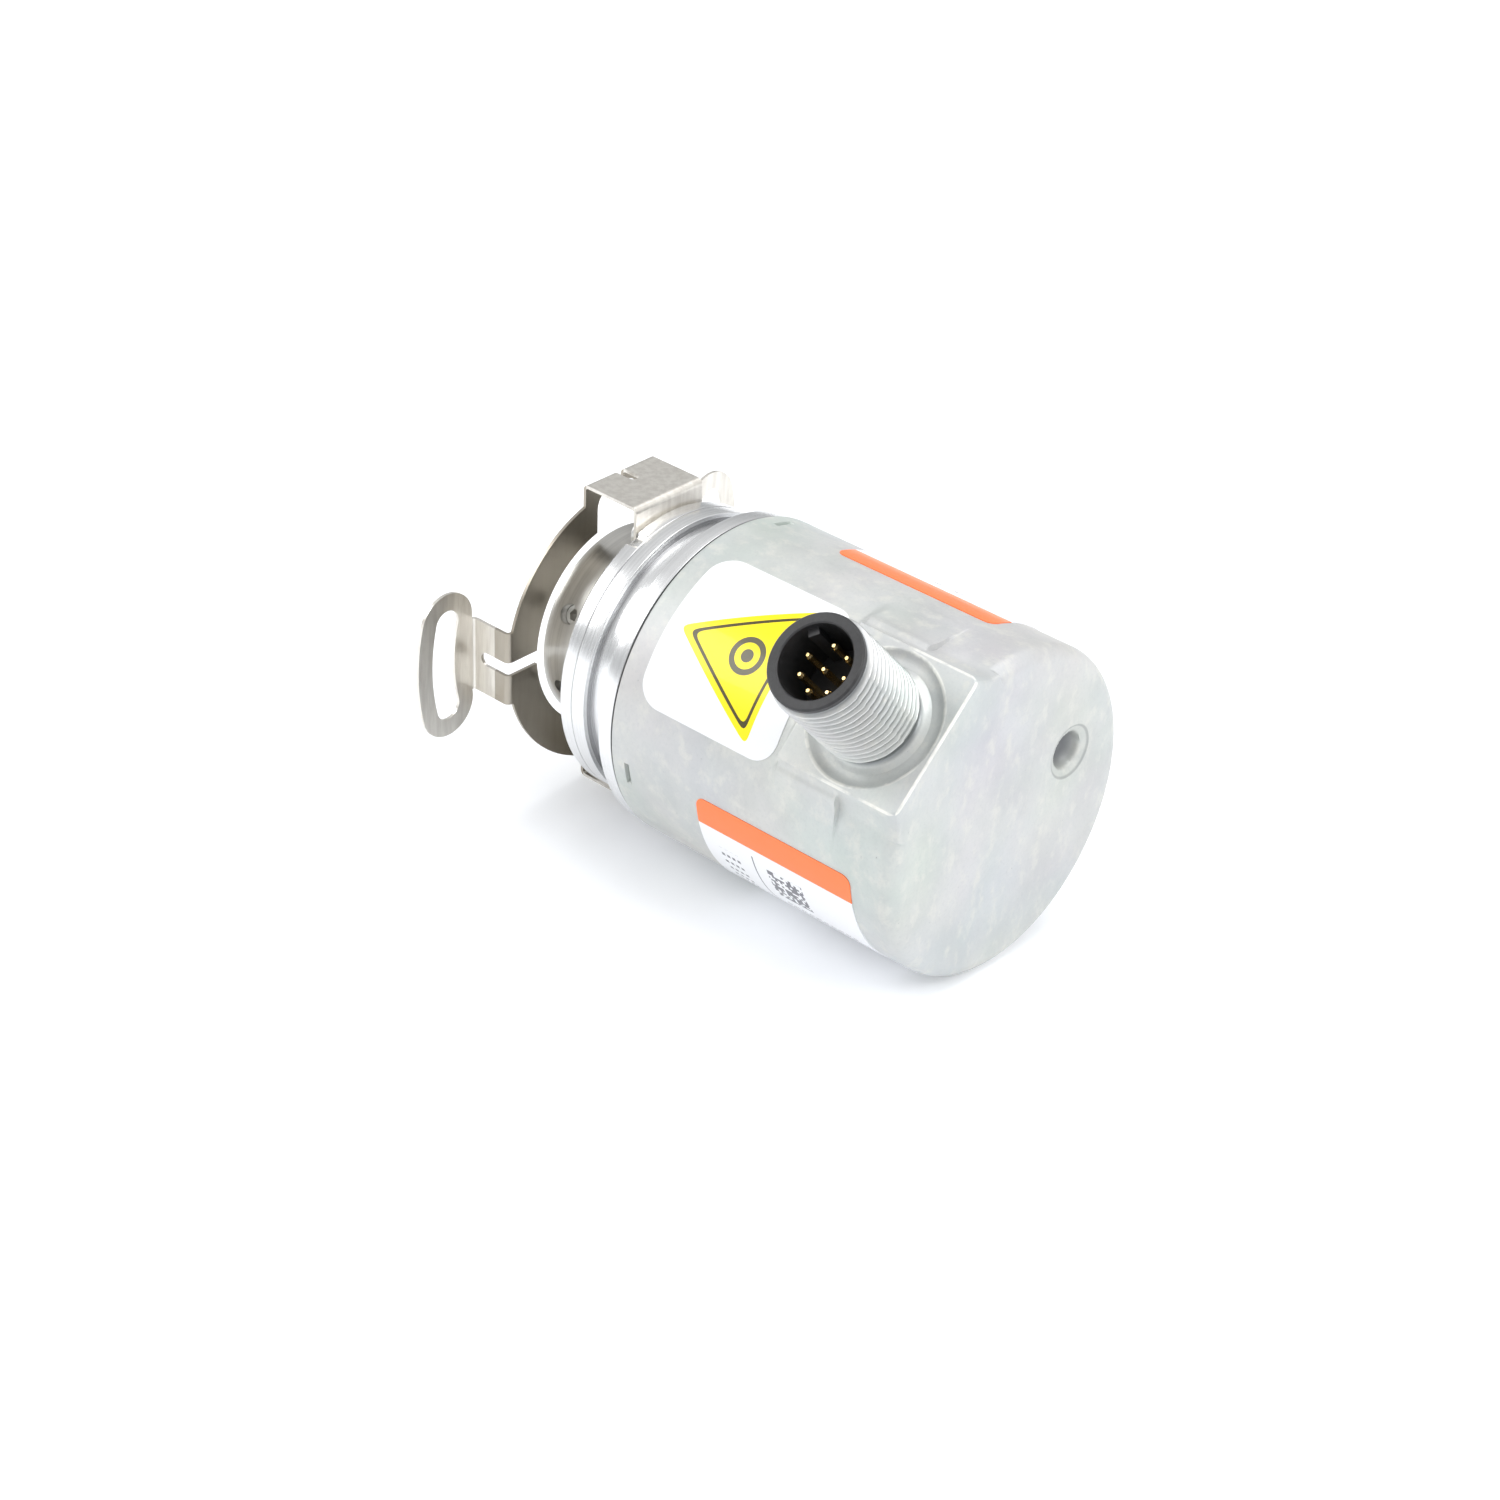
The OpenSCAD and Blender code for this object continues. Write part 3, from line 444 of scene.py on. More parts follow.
def wrap_film(name, start, length, angle_from, angle_to, corner):
    """A film on the cap, from a start behind the seam: rows run along the shaft and shorten
    within the round corners, where a row draws in by the corner's radius less the height of
    its circle there; a rim goes down to the wall."""
    low, high = math.radians(angle_from), math.radians(angle_to)
    arc = (high - low) * CAP_R
    near = corner * (1 - np.cos(np.linspace(0, math.pi / 2, 9)))
    middle = np.linspace(corner, arc - corner, 48)
    across = np.concatenate([near[:-1], middle, (arc - near[::-1])[1:]])[:, None]
    edge = np.minimum(across, arc - across)
    inset = corner - np.sqrt(np.clip(corner ** 2 - np.clip(corner - edge, 0, corner) ** 2, 0, None))
    t = np.linspace(0, 1, 41)[None, :]
    along = inset + t * (length - 2 * inset)
    angle = low + across / CAP_R + 0 * along
    radius = np.pad(np.full_like(along, CAP_R + FILM_T), 1, mode="edge")
    radius[[0, -1], :] = CAP_R - FILM_SINK
    radius[:, [0, -1]] = CAP_R - FILM_SINK
    along, angle = np.pad(along, 1, mode="edge"), np.pad(angle, 1, mode="edge")
    points = cylinder_points(SEAM + start + along, radius, angle)
    film = mesh_object(name, points, grid_faces(*along.shape, False), sharp=40)
    add_uv(film, along, (angle - low) * CAP_R)
    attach(film, "housing")
    print(name, "arc", round(arc, 1))
    return film


TYPE_LEN, TYPE_ANGLE, TYPE_CORNER = 22.95, 74.8, 1.2
LOWER = (186.7, 186.7 + TYPE_ANGLE)
UPPER = (5.6, 5.6 + TYPE_ANGLE)
# each film: its start behind the seam, its length, its first and last angle and its corners
films = {"warning_label": wrap_film("warning_film", 3.35, 20.3, 106.7, 164.6, 3.1),
         "lower_label": wrap_film("lower_film", 13.65, TYPE_LEN, *LOWER, TYPE_CORNER),
         "upper_label": wrap_film("upper_film", 11.7, TYPE_LEN, *UPPER, TYPE_CORNER)}
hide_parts("warning_label")
for key in ("lower_label", "upper_label"):
    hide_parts(key)

# %% [markdown]
# ## Writing finishes as arithmetic
# A finish is a network of shader nodes. The small class below wraps a socket, so that adding or
# multiplying two of them adds a Math node, and one method makes any other node. A finish can
# then be read as a few lines of sums.

# %% The wrapper for shader sockets


class Flow:
    """A value, colour or vector that travels through a material."""

    def __init__(self, tree, socket):
        self.tree = tree
        self.socket = socket

    def node(self, kind, settings, sockets, out=0):
        """Adds a node of this kind: its settings first, then the values or links of its sockets."""
        made = self.tree.nodes.new("ShaderNode" + kind)
        for key, value in settings.items():
            if key == "stops":
                ramp = made.color_ramp.elements
                while len(ramp) < len(value):
                    ramp.new(0.5)
                for element, (place, colour) in zip(ramp, value):
                    element.position = place
                    element.color = (*colour, 1)
            else:
                setattr(made, key, value)
        for key, value in sockets.items():
            if isinstance(value, Flow):
                self.tree.links.new(value.socket, made.inputs[key])
            else:
                made.inputs[key].default_value = value
        return Flow(self.tree, made.outputs[out])

    def math(self, operation, *values):
        """A Math node on the given values, in their order."""
        return self.node("Math", {"operation": operation}, dict(enumerate(values)))

    def put(self, operation, *others):
        """A Math node on this value, followed by any others."""
        return self.math(operation, self, *others)

    def __add__(self, other): return self.put("ADD", other)
    def __radd__(self, other): return self.math("ADD", other, self)
    def __sub__(self, other): return self.put("SUBTRACT", other)
    def __rsub__(self, other): return self.math("SUBTRACT", other, self)
    def __mul__(self, other): return self.put("MULTIPLY", other)
    def __rmul__(self, other): return self.math("MULTIPLY", other, self)
    def __truediv__(self, other): return self.put("DIVIDE", other)
    def __gt__(self, other): return self.put("GREATER_THAN", other)
    def __lt__(self, other): return self.put("LESS_THAN", other)

    def within(self, low, high):
        """One where this value lies between two others, nought elsewhere."""
        return (self > low) * (self < high)

    def axis(self, which):
        """One part of a vector: X, Y or Z."""
        return self.node("SeparateXYZ", {}, {0: self}, out="XYZ".index(which))

    def step(self, low, high, to_low=0.0, to_high=1.0):
        """A soft step from to_low to to_high as this value goes from low to high."""
        sockets = {"Value": self, "From Min": low, "From Max": high, "To Min": to_low, "To Max": to_high}
        return self.node("MapRange", {"interpolation_type": "SMOOTHSTEP"}, sockets)

    def noise(self, scale, detail=4.0, rough=0.5, out=0):
        """Soft noise read at this vector."""
        sockets = {"Vector": self, "Scale": scale, "Detail": detail, "Roughness": rough}
        return self.node("TexNoise", {}, sockets, out)

    def stretch(self, x, y, z):
        """This vector with each part multiplied."""
        return self.node("VectorMath", {"operation": "MULTIPLY"}, {0: self, 1: (x, y, z)})

    def blend(self, low, high):
        """A colour from low to high as this value goes from nought to one."""
        return self.node("Mix", {"data_type": "RGBA"}, {"Factor": self, 6: low, 7: high}, out=2)


def rgb(r, g, b):
    """A solid colour from its linear red, green and blue parts."""
    return (r, g, b, 1.0)


def length_of(a, b):
    """The length of two parts that stand square to each other: the root of their squares' sum."""
    return (a * a + b * b).put("SQRT")


class Finish:
    """A material with one Principled shader, started with its plain values."""

    def __init__(self, name, colour, rough, metal=0.0, **plain):
        self.material = bpy.data.materials.new(name)
        self.material.use_nodes = True
        tree = self.material.node_tree
        self.shader = tree.nodes["Principled BSDF"]
        self.start = Flow(tree, None)
        self.set(**{"Base Color": colour, "Roughness": rough, "Metallic": metal}, **plain)

    def set(self, **sockets):
        """Gives sockets a plain value, or links what flows into them."""
        for key, value in sockets.items():
            socket = self.shader.inputs[key.replace("_", " ")]
            if isinstance(value, Flow):
                self.start.tree.links.new(value.socket, socket)
            else:
                socket.default_value = value

    def place(self):
        """Where the point is on the object, in metres."""
        return self.start.node("TexCoord", {}, {}, out=3)

    def film_place(self):
        """Where the point is on a film, in millimetres."""
        return self.start.node("UVMap", {"uv_map": "film"}, {})

    def bump(self, height, distance, strength=1.0):
        """Tilts the shading by a height that varies over the surface; distance is in metres."""
        sockets = {"Height": height, "Distance": distance, "Strength": strength}
        self.set(Normal=self.start.node("Bump", {}, sockets))

    def give(self, *pieces):
        """Makes this the only material of new pieces."""
        for piece in pieces:
            piece.data.materials.clear()
            piece.data.materials.append(self.material)


def give_nodes(finish, *names):
    """Assigns a finish to the material slots of measured nodes."""
    for name in names:
        piece = nodes[name]
        for slot in piece.material_slots:
            slot.material = finish.material


# %% [markdown]
# ## Cast zinc
# Fresh zinc castings are tumbled, so they are a soft mottled grey: darker clouds where the skin
# has oxidised, faint blue and straw tints, pale rubbed spots and pin-head pits. Noise of three
# sizes makes the clouds, the grain and the pits. The tints stay very weak.

# %% Cast zinc
ZINC_GREY, ZINC_PALE = rgb(0.505, 0.522, 0.517), rgb(0.582, 0.592, 0.582)
RUBBED, OXIDE, PIT = rgb(0.66, 0.655, 0.61), rgb(0.4, 0.42, 0.43), rgb(0.2, 0.21, 0.22)
# the next colour is a painted highlight for the pad's edges
PAINTED_HIGHLIGHT = rgb(0.93, 0.92, 0.86)
# both colours below are painted shade: the first for the thread's grooves, the second for the dimple
GROOVE_SHADE, DIMPLE_SHADE = rgb(0.13, 0.14, 0.15), rgb(0.1, 0.105, 0.12)


def cast_zinc(name, groove=None):
    """The casting's finish; groove gives painted shade by a thread's depth, and without groove the pad's
    edges get painted highlights and the dimple painted shade.
    """
    finish = Finish(name, rgb(0.6, 0.62, 0.61), 0.55, 0.4)
    place = finish.place()
    cloud = place.noise(110, 5, 0.6)
    patch = place.stretch(1, 1.3, 0.8).noise(430, 5, 0.65)
    grain = place.noise(2400, 4, 0.7)
    rare = place.noise(300, 2, 0.5)
    tint = place.noise(60, 3, 0.5, out=1)
    base = cloud.step(0.3, 0.7).blend(ZINC_GREY, ZINC_PALE)
    tinted = finish.start.node("Mix", {"data_type": "RGBA", "blend_type": "OVERLAY"},
                               {"Factor": 0.1, 6: base, 7: tint}, out=2)
    tinted = (patch.step(0.48, 0.7) * 0.55).blend(tinted, RUBBED)
    tinted = (grain.step(0.55, 0.3) * 0.22).blend(tinted, OXIDE)
    pits = grain.step(0.33, 0.27) * rare.step(0.56, 0.66)
    tinted = (pits * 0.7).blend(tinted, PIT)
    if groove:
        # painted shade, darker deeper in the thread's grooves
        tinted = groove(place).blend(tinted, GROOVE_SHADE)
        finish.set(Metallic=0.85)
    else:
        # painted highlights on the pad's edges
        tinted = painted_edge_highlights(place).blend(tinted, PAINTED_HIGHLIGHT)
        # painted shade in the blind dimple
        tinted = painted_dimple_shade(place).blend(tinted, DIMPLE_SHADE)
    smooth = 0.22 if groove else 0.38
    finish.set(**{"Base Color": tinted, "Roughness": grain * 0.14 + cloud * 0.16 + smooth})
    finish.bump(grain * 0.6 + patch * 0.9 - pits * 0.8, 0.00003, 0.8)
    return finish


def on_connector(place):
    """A point's height along the connector's axis and how far to its side it is, in millimetres."""
    y, z = place.axis("Y") / METRE, place.axis("Z") / METRE
    cosine, sine = math.cos(CONNECTOR_ANGLE), math.sin(CONNECTOR_ANGLE)
    return y * cosine + z * sine, y * sine - z * cosine


def painted_edge_highlights(place):
    """Painted highlights: bright thin lines on the pad's end edge, on its sides and on the rim of the spot
    face.
    """
    x = place.axis("X") / METRE
    height, across = on_connector(place)
    end = x.step(CAP_END - 0.34, CAP_END - 0.22) * height.step(PAD_TOP - 0.3, PAD_TOP - 0.15)
    reach = length_of(x - CONNECTOR_X, across)
    rim = reach.step(SPOT_R - 0.3, SPOT_R - 0.1) * reach.step(SPOT_R + 0.3, SPOT_R + 0.1)
    rim = rim * height.step(PAD_TOP - 0.3, PAD_TOP - 0.1)
    side = across.put("ABSOLUTE")
    flank = side.step(PAD_HALF_W - 0.35, PAD_HALF_W - 0.15) * side.step(PAD_HALF_W + 0.15, PAD_HALF_W)
    flank = flank * height.step(PAD_TOP - 0.25, PAD_TOP - 0.1) * x.step(CONNECTOR_X - 5, CONNECTOR_X)
    # noise that breaks the painted highlights into patches
    unevenness = place.noise(420, 3, 0.6).step(0.35, 0.6)
    return end * (unevenness * 0.5 + 0.4) + (rim + flank).put("MINIMUM", 1.0) * unevenness * 0.6


def painted_dimple_shade(place):
    """Painted shade in the blind dimple: darker the deeper it goes, with a thin dark line round its rim."""
    reach = length_of(place.axis("Y") / METRE - DIMPLE[0], place.axis("Z") / METRE - DIMPLE[1])
    depth = CAP_END - place.axis("X") / METRE
    ring = reach.step(DIMPLE_R + 0.15, DIMPLE_R) * reach.step(DIMPLE_R - 0.3, DIMPLE_R - 0.1)
    return (reach < DIMPLE_R + 0.2) * (depth.step(0.35, 2.1) * 0.85 + ring * 0.35)


def thread_groove_shade(place):
    """Painted shade for the thread: how deep a point lies in it, from its distance to the connector's axis,
    read backwards.
    """
    reach = length_of(place.axis("X") / METRE - CONNECTOR_X, on_connector(place)[1])
    outside = reach.within(STUD_BORE + 0.05, THREAD_R + 0.02)
    return reach.step(THREAD_R - 0.2, ROOT_R - 0.02, 0.0, 0.75) * outside


cast_zinc("cast zinc").give(cap)
cast_zinc("threaded zinc", thread_groove_shade).give(stud)

# %% [markdown]
# ## Turned metal
# A lathe leaves fine rings. Noise that is read only along the shaft and along the radius, not
# round it, makes rings that follow every turned face. The flange is bright aluminium; the
# clamping ring, shaft and small turned parts take the same recipe with other values.

# %% Turned metals
# a painted shade colour for corners, lines and gaps
PAINTED_SHADE_GREY = rgb(0.13, 0.13, 0.14)


def turned_metal(name, colour, rough, rings=2600, depth=0.000004, spread_of=0.12, painted_shade=None):
    """Noise of the station and the radius alone, which gives rings; the last argument gives painted shade
    from both.
    """
    finish = Finish(name, colour, rough, 1.0)
    place = finish.place()
    y, z = place.axis("Y"), place.axis("Z")
    radius = length_of(y, z)
    lathe = finish.start.node("CombineXYZ", {}, {0: place.axis("X"), 1: radius, 2: 0.0})
    ring = lathe.noise(rings, 3, 0.7)
    broad = lathe.noise(rings / 7, 2, 0.5)
    smear = place.noise(90, 4, 0.6)
    darker = rgb(*(c * (1 - spread_of) for c in colour[:3]))
    shade = (ring * 0.5 + smear * 0.5).step(0.35, 0.65).blend(darker, colour)
    if painted_shade:
        # painted shade where the last argument says so
        shade = painted_shade(place.axis("X") / METRE, radius / METRE).blend(shade, PAINTED_SHADE_GREY)
    finish.set(**{"Base Color": shade, "Roughness": ring * 0.1 + smear * 0.12 + (rough - 0.11)})
    finish.bump(ring + broad * 0.7, depth, 0.9)
    return finish


def painted_groove_shade(x, radius):
    """Painted shade: dark thin lines in the groove's two inner corners and along the scribed line, and a
    darker band at the seam's gap.
    """
    low = radius < GROOVE_R + 0.7
    near = (x - RIM_END).put("ABSOLUTE").step(0.22, 0.04)
    far = (x - REAR_START).put("ABSOLUTE").step(0.22, 0.04)
    scribed = (x - SCRIBED).put("ABSOLUTE").step(0.12, 0.03) * (radius > RIM_R - 0.2)
    # painted shade in the gap at the seam
    seam = x.step(SEAM - 0.12, SEAM - 0.02) * 0.6
    return (low * (near * 0.6 + far * 0.45)).put("MAXIMUM", scribed * 0.5 + seam)


aluminium = turned_metal("turned aluminium", rgb(0.84, 0.845, 0.85), 0.25, depth=0.000006, painted_shade=painted_groove_shade)
aluminium.give(flange)
dark_turned = turned_metal("dark turned steel", rgb(0.62, 0.61, 0.58), 0.34, depth=0.000006, spread_of=0.2)
give_nodes(dark_turned, "clamp_ring", "clamp_screws", "retaining_ring", "preload_spring")
ground_steel = turned_metal("ground steel", rgb(0.62, 0.62, 0.61), 0.24, rings=5200, depth=0.000002)
give_nodes(ground_steel, "hollow_shaft", "outer_spacer", "inner_spacer")
bearing_steel = turned_metal("bearing steel", rgb(0.7, 0.7, 0.71), 0.14, rings=5200, depth=0.000001)
give_nodes(bearing_steel, "front_bearing_outer", "front_bearing_inner", "front_bearing_balls",
           "rear_bearing_outer", "rear_bearing_inner", "rear_bearing_balls", "bearing_shields")
brass = turned_metal("turned brass", rgb(0.78, 0.58, 0.26), 0.28)
give_nodes(brass, "front_bearing_cage", "rear_bearing_cage", "disc_hub", "board_standoffs", "board_spacers")
plated = turned_metal("bright zinc plating", rgb(0.66, 0.66, 0.63), 0.32)
give_nodes(plated, "coupling_screws", "board_screws", "disc_nut")
can = turned_metal("drawn can", rgb(0.78, 0.78, 0.78), 0.3)
give_nodes(can, "capacitors")

# %% [markdown]
# ## Spring steel
# The coupling is punched from rolled stainless sheet. Rolling leaves long fine scratches in one
# direction, and the thin bent strips mirror dark and light parts of the room side by side. The
# metal is a warm grey, with a little stain where oil has dried.

# %% Spring steel
def spring_steel():
    """Noise drawn out along Z for the rolling, over warm greys; the flat ring gets painted shade."""
    finish = Finish("spring steel", rgb(0.6, 0.57, 0.52), 0.32, 1.0)
    place = finish.place()
    lines = place.stretch(1, 1, 0.06).noise(5200, 3, 0.7)
    lengths = place.stretch(1, 1, 0.1).noise(1400, 4, 0.6)
    stain = place.noise(150, 5, 0.6)
    base = lengths.step(0.35, 0.65).blend(rgb(0.68, 0.65, 0.6), rgb(0.78, 0.755, 0.7))
    x, radius = place.axis("X") / METRE, length_of(place.axis("Y"), place.axis("Z")) / METRE
    # painted shade on the flat ring
    band = x.within(-0.6, 1.7) * (radius < 20.6) * (lengths * 0.3 + 0.7)
    base = band.blend(base, rgb(0.34, 0.305, 0.25))
    finish.set(**{"Base Color": (stain.step(0.5, 0.75) * 0.35).blend(base, rgb(0.42, 0.385, 0.33)),
                  "Roughness": lines * 0.12 + stain * 0.12 + 0.22})
    finish.bump(lines + lengths * 0.4, 0.000003, 0.8)
    return finish


spring = spring_steel()
give_nodes(spring, "stator_coupling")

# %% [markdown]
# ## Plastics, rubber, gold and boards
# The insert is glass-filled black nylon, which has a fine grain and a slight sheen. The pins are
# plated with gold. The boards have green solder mask with copper tracks just visible in it.

# %% Plastics and rubber
def moulded(name, light, dark, rough, grain=900, depth=0.00001):
    """Two noises, one nine times as wide as the other, between a dark and a light colour."""
    finish = Finish(name, light, rough)
    place = finish.place()
    fine = place.noise(grain, 4, 0.6)
    wide = place.noise(grain / 9, 3, 0.5)
    finish.set(**{"Base Color": (fine * 0.5 + wide * 0.5).step(0.35, 0.65).blend(dark, light),
                  "Roughness": fine * 0.16 + (rough - 0.08)})
    finish.bump(fine, depth, 0.7)
    return finish


black = moulded("black nylon", rgb(0.026, 0.026, 0.028), rgb(0.012, 0.012, 0.013), 0.42, 1800, 0.000012)
give_nodes(black, "connector_insert", "board_link", "sensor_chip", "logic_chips", "lamp_holder")
rubber = moulded("black rubber", rgb(0.02, 0.02, 0.02), rgb(0.01, 0.01, 0.01), 0.6)
give_nodes(rubber, "shaft_seal", "cap_seal", "insert_seal")
ivory = moulded("ivory nylon", rgb(0.78, 0.75, 0.66), rgb(0.7, 0.67, 0.58), 0.45)
give_nodes(ivory, "lamp", "ribbon_socket")
grey = moulded("grey cable film", rgb(0.4, 0.41, 0.43), rgb(0.3, 0.31, 0.33), 0.5)
give_nodes(grey, "inner_ribbon")


# %% Gold pins, boards and the glass disc
GOLD, WORN_GOLD = rgb(0.95, 0.68, 0.28), rgb(0.9, 0.74, 0.45)
SOLDER_MASK, TRACK = rgb(0.015, 0.13, 0.055), rgb(0.05, 0.24, 0.1)
GLASS, CHROME_LINE = rgb(0.75, 0.82, 0.85), rgb(0.1, 0.1, 0.12)
LINES_PER_RADIAN = 57.3


def gold_plate():
    """Gold that is paler and rougher where a soft noise says that it is worn."""
    finish = Finish("gold plate", GOLD, 0.2, 1.0)
    place = finish.place()
    unevenness = place.noise(1400, 3, 0.6)
    finish.set(**{"Base Color": unevenness.step(0.4, 0.7).blend(GOLD, WORN_GOLD),
                  "Roughness": unevenness * 0.2 + 0.1})
    return finish


give_nodes(gold_plate(), "connector_pins")


def circuit_board():
    """Tracks are where the fraction of a wavering Y or Z is small, a little lighter and raised."""
    finish = Finish("circuit board", rgb(0.02, 0.16, 0.07), 0.35)
    place = finish.place()
    y, z = place.axis("Y") / METRE, place.axis("Z") / METRE
    wobble = place.noise(160, 2, 0.5) * 4
    track = ((y + wobble) * 0.8).put("FRACT")
    other = ((z + wobble) * 0.6).put("FRACT")
    copper = (track < 0.3).put("MAXIMUM", other < 0.22)
    finish.set(**{"Base Color": copper.blend(SOLDER_MASK, TRACK),
                  "Roughness": copper * 0.12 + 0.28})
    finish.bump(copper, 0.00003, 0.6)
    return finish


give_nodes(circuit_board(), "sensor_board", "interface_board", "tail_board")


def code_glass():
    """Clear glass with a band of dark lines, one wherever the fraction of the angle is small."""
    finish = Finish("code glass", GLASS, 0.08, 0.0, Alpha=0.45)
    place = finish.place()
    y, z = place.axis("Y"), place.axis("Z")
    radius = length_of(y, z) / METRE
    lines = (z.put("ARCTAN2", y) * LINES_PER_RADIAN).put("FRACT")
    band = radius.within(10.2, 12.2) * (lines < 0.5)
    finish.set(**{"Base Color": band.blend(GLASS, CHROME_LINE), "Alpha": band * 0.5 + 0.4})
    return finish


give_nodes(code_glass(), "code_disc")

# %% [markdown]
# ## The print on the films
# The films are white polyester. The two type films have an orange bar along one edge and a few
# thin grey marks that stand for the usual print. The third is a plain white film with a yellow
# triangle that holds a neutral mark. A triangle is three half planes: the smallest of the three
# distances to its sides tells how far inside a point lies.

# %% Printed films
WHITE = rgb(0.84, 0.85, 0.87)
INK = rgb(0.13, 0.13, 0.15)
ORANGE = rgb(1.0, 0.19, 0.035)
BAR_WIDTH = 3.65
RULE, RULE_FROM = (7.75, 7.95), 4.9
CELLS_PER_MM = 2.7
BLOCK_ALONG, BLOCK_IN = (9.8, 15.0), (5.9, 11.1)
LEFT_ALONG, LEFT_IN = (2.4, 5.6), (6.5, 17)
RIGHT_ALONG, RIGHT_IN = (9.8, 20.5), (13, 23)


def film_base(name):
    """White film with a weak coat and a faint grain, and the place on it in millimetres."""
    finish = Finish(name, WHITE, 0.36, 0.0, **{"Coat Weight": 0.2})
    fine = finish.place().noise(500, 3, 0.5)
    finish.bump(fine, 0.000008, 0.5)
    return finish, finish.film_place()


def dashes_of(value, pitch, share):
    """One for the first share of every pitch, nought for the rest."""
    return (value * (1 / pitch)).put("FRACT") < share


def type_film(name, bar_at_low_side, arc):
    """An orange bar, a thin rule, a block of small squares and rows of short dashes."""
    finish, place = film_base(name)
    along, around = place.axis("X"), place.axis("Y")
    inward = around if bar_at_low_side else arc - around
    ink = along.within(*RULE) * (inward > RULE_FROM)
    cells = [(v * CELLS_PER_MM).put("FLOOR") for v in (along, inward)]
    corner = finish.start.node("CombineXYZ", {}, {0: cells[0], 1: cells[1], 2: 0.0})
    chance = finish.start.node("TexWhiteNoise", {"noise_dimensions": "2D"}, {"Vector": corner})
    block = along.within(*BLOCK_ALONG) * inward.within(*BLOCK_IN) * (chance > 0.42)
    left = dashes_of(along, 0.8, 0.6) * dashes_of(inward, 1.5, 0.35)
    right = dashes_of(along, 1.1, 0.7) * dashes_of(inward, 1.6, 0.3)
    left = left * along.within(*LEFT_ALONG) * inward.within(*LEFT_IN)
    right = right * along.within(*RIGHT_ALONG) * inward.within(*RIGHT_IN)
    for mark in (block, left, right):
        ink = ink.put("MAXIMUM", mark)
    finish.set(**{"Base Color": (inward < BAR_WIDTH).blend(ink.blend(WHITE, INK), ORANGE)})
    return finish


arc_of_type = math.radians(TYPE_ANGLE) * CAP_R
type_film("lower type film", True, arc_of_type).give(films["lower_label"])
type_film("upper type film", False, arc_of_type).give(films["upper_label"])

# %% The triangle film
YELLOW, BORDER, MARK = rgb(1.0, 0.79, 0.0), rgb(0.06, 0.05, 0.01), rgb(0.1, 0.09, 0.05)
APEX = (1.63, 10.37)
BASE_LOW, BASE_HIGH = (16.3, 19.1), (16.8, 1.05)
ROUND = 1.6
MARK_AT = (11.6, 10.1)
MARK_DOT, MARK_RING = 0.8, (1.6, 2.3)


def inside_triangle(place):
    """Distance inside the triangle's nearest side, in millimetres; less than nought outside.
    Smooth minimums round its corners."""
    along, around = place.axis("X"), place.axis("Y")
    sides = []
    for (ax, ay), (bx, by) in ((APEX, BASE_HIGH), (BASE_HIGH, BASE_LOW), (BASE_LOW, APEX)):
        size = math.hypot(bx - ax, by - ay)
        sides.append((along - ax) * (-(by - ay) / size) + (around - ay) * ((bx - ax) / size))
    return sides[0].put("SMOOTH_MIN", sides[1], ROUND).put("SMOOTH_MIN", sides[2], ROUND)


def triangle_film():
    """Yellow where the depth inside is above nought, a dark border at one depth, and a dot in a ring."""
    finish, place = film_base("triangle film")
    deep = inside_triangle(place)
    yellow = (deep > 0.0).blend(WHITE, YELLOW)
    bordered = deep.within(0.72, 1.1).blend(yellow, BORDER)
    reach = length_of(place.axis("X") - MARK_AT[0], place.axis("Y") - MARK_AT[1])
    mark = (reach < MARK_DOT).put("MAXIMUM", reach.within(*MARK_RING))
    finish.set(**{"Base Color": mark.blend(bordered, MARK)})
    return finish


triangle_film().give(films["warning_label"])

# %% [markdown]
# ## Camera
# The camera stands well above and to the side of the closed end and uses a long lens, so the
# round wall shows little perspective. Its place is an aim point plus a distance along a
# direction, then a small slide across the view.

# %% Camera
AZIMUTH, ELEVATION, ROLL = math.radians(40.753), math.radians(30.197), math.radians(4.109)
DISTANCE = 386.135
AIM = np.array([SEAM + 25, 0, 0])
SLIDE = (-15.927, 0.783)
LENS, SENSOR = 81.83, 36


def add_camera():
    """A camera whose right, up and back directions come from azimuth, elevation and roll."""
    level = math.cos(ELEVATION)
    back = np.array([math.sin(AZIMUTH) * level, -math.cos(AZIMUTH) * level, math.sin(ELEVATION)])
    right = np.array([math.cos(AZIMUTH), math.sin(AZIMUTH), 0])
    up = np.cross(right, -back)
    rolled = right * math.cos(ROLL) + up * math.sin(ROLL)
    raised = up * math.cos(ROLL) - right * math.sin(ROLL)
    place = AIM + back * DISTANCE + rolled * SLIDE[0] + raised * SLIDE[1]
    data = bpy.data.cameras.new("camera")
    data.lens = LENS
    data.sensor_width = SENSOR
    data.clip_start, data.clip_end = 0.01, 10
    camera = bpy.data.objects.new("camera", data)
    bpy.context.scene.collection.objects.link(camera)
    turn = Matrix([[rolled[i], raised[i], back[i]] for i in range(3)]).to_4x4()
    camera.matrix_world = Matrix.Translation(place * METRE) @ turn
    bpy.context.scene.camera = camera
    print("camera at", np.round(place, 1))


add_camera()

# %% [markdown]
# ## Floor, light and room
# The encoder lies on white paper in a tent of soft light. The floor takes the object's shadow,
# and rays that only look at the background see plain white. Three large soft lamps give the
# metal broad highlights, and a darker side of the room gives it its dark streaks.

# %% Floor and room
FLOOR_HALF = 3.0
LIGHT_AIM = (0.03, 0, 0)


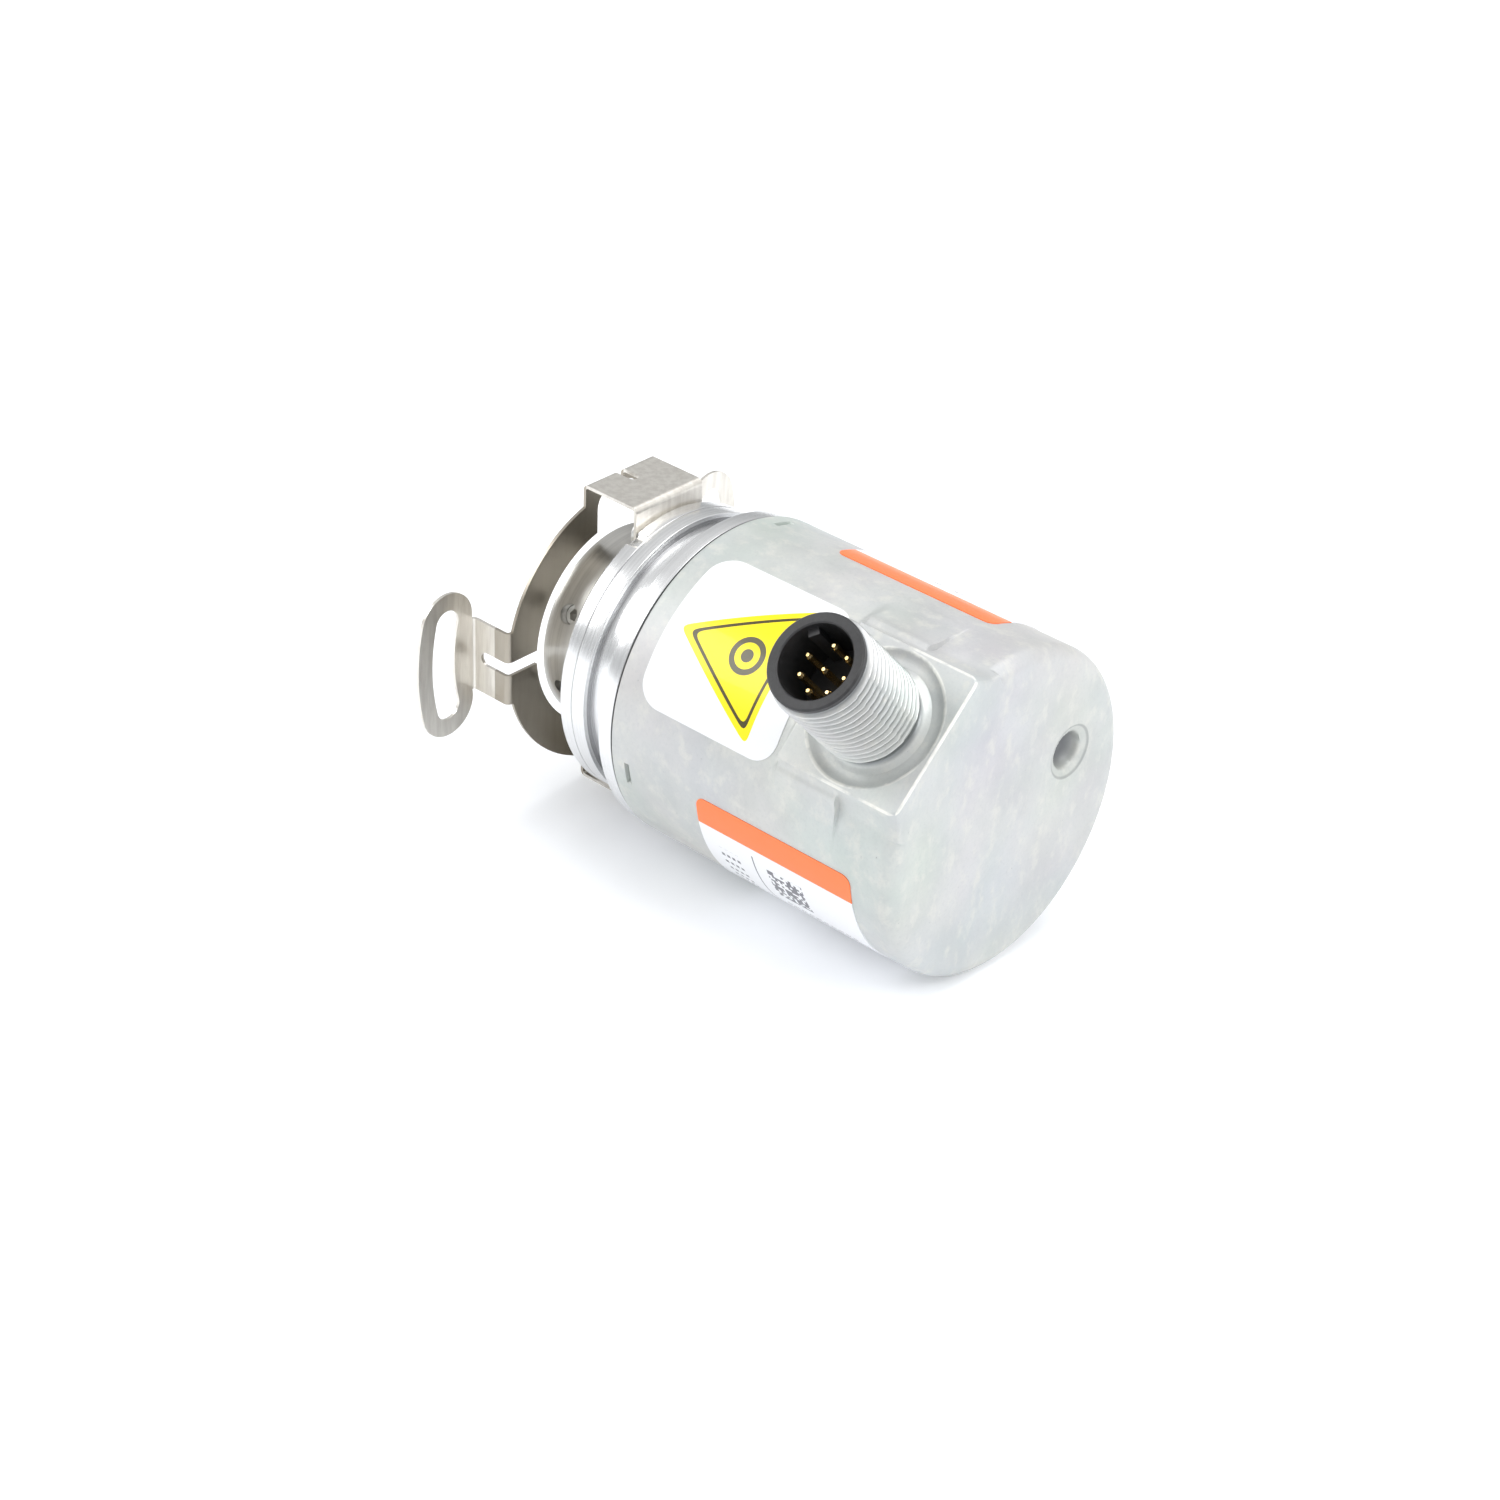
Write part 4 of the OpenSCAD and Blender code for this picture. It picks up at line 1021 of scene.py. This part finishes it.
def add_floor():
    """A square of paper at the lowest point of the object, whose glow grows with the distance."""
    square = np.array([[-1, -1], [1, -1], [1, 1], [-1, 1]]) * FLOOR_HALF
    mesh = bpy.data.meshes.new("floor")
    mesh.from_pydata([(x, y, cad_box[0][2]) for x, y in square], [], [(0, 1, 2, 3)])
    floor = bpy.data.objects.new("floor", mesh)
    bpy.context.scene.collection.objects.link(floor)
    finish = Finish("paper floor", rgb(0.9, 0.915, 0.94), 0.9)
    place = finish.place()
    far = length_of(place.axis("X"), place.axis("Y")).step(0.12, 0.7)
    glow = far.blend(rgb(0.155, 0.158, 0.16), rgb(0.8, 0.8, 0.8))
    finish.set(**{"Emission Color": glow, "Emission Strength": 1.0})
    finish.give(floor)


def add_room():
    """A room that brightens upwards and to one side; only rays from the camera see it plain white."""
    world = bpy.data.worlds.new("room")
    bpy.context.scene.world = world
    world.use_nodes = True
    tree = world.node_tree
    tree.nodes.clear()
    start = Flow(tree, None)
    path = tree.nodes.new("ShaderNodeLightPath")
    camera_ray = Flow(tree, path.outputs["Is Camera Ray"])
    glossy_ray = Flow(tree, path.outputs["Is Glossy Ray"])
    direction = start.node("TexCoord", {}, {}, out=0)
    height = direction.axis("Z").step(-0.2, 0.9)
    side = direction.axis("X").step(-0.9, 0.6)
    room = (height * 0.5 + side * 0.5).blend(rgb(0.32, 0.33, 0.34), rgb(1.0, 1.0, 1.0))
    seen = camera_ray.blend(room, rgb(1.0, 1.0, 1.0))
    light = start.node("Background", {}, {"Color": seen, "Strength": glossy_ray * 0.1 + 1.0})
    out = tree.nodes.new("ShaderNodeOutputWorld")
    tree.links.new(light.socket, out.inputs["Surface"])


def add_lamp(name, place, size, power):
    """A round soft lamp that looks at the object."""
    data = bpy.data.lights.new(name, "AREA")
    data.shape = "DISK"
    data.size = size
    data.energy = power
    lamp = bpy.data.objects.new(name, data)
    lamp.location = Vector(place)
    lamp.rotation_euler = (Vector(LIGHT_AIM) - Vector(place)).to_track_quat("-Z", "Y").to_euler()
    bpy.context.scene.collection.objects.link(lamp)


add_floor()
add_room()
add_lamp("top light", (0.05, 0.1, 0.6), 0.5, 1.5)
add_lamp("left light", (-0.45, -0.35, 0.35), 0.35, 1.5)
add_lamp("right light", (0.5, 0.1, 0.4), 0.3, 1.0)
bpy.context.scene.view_settings.view_transform = "Standard"
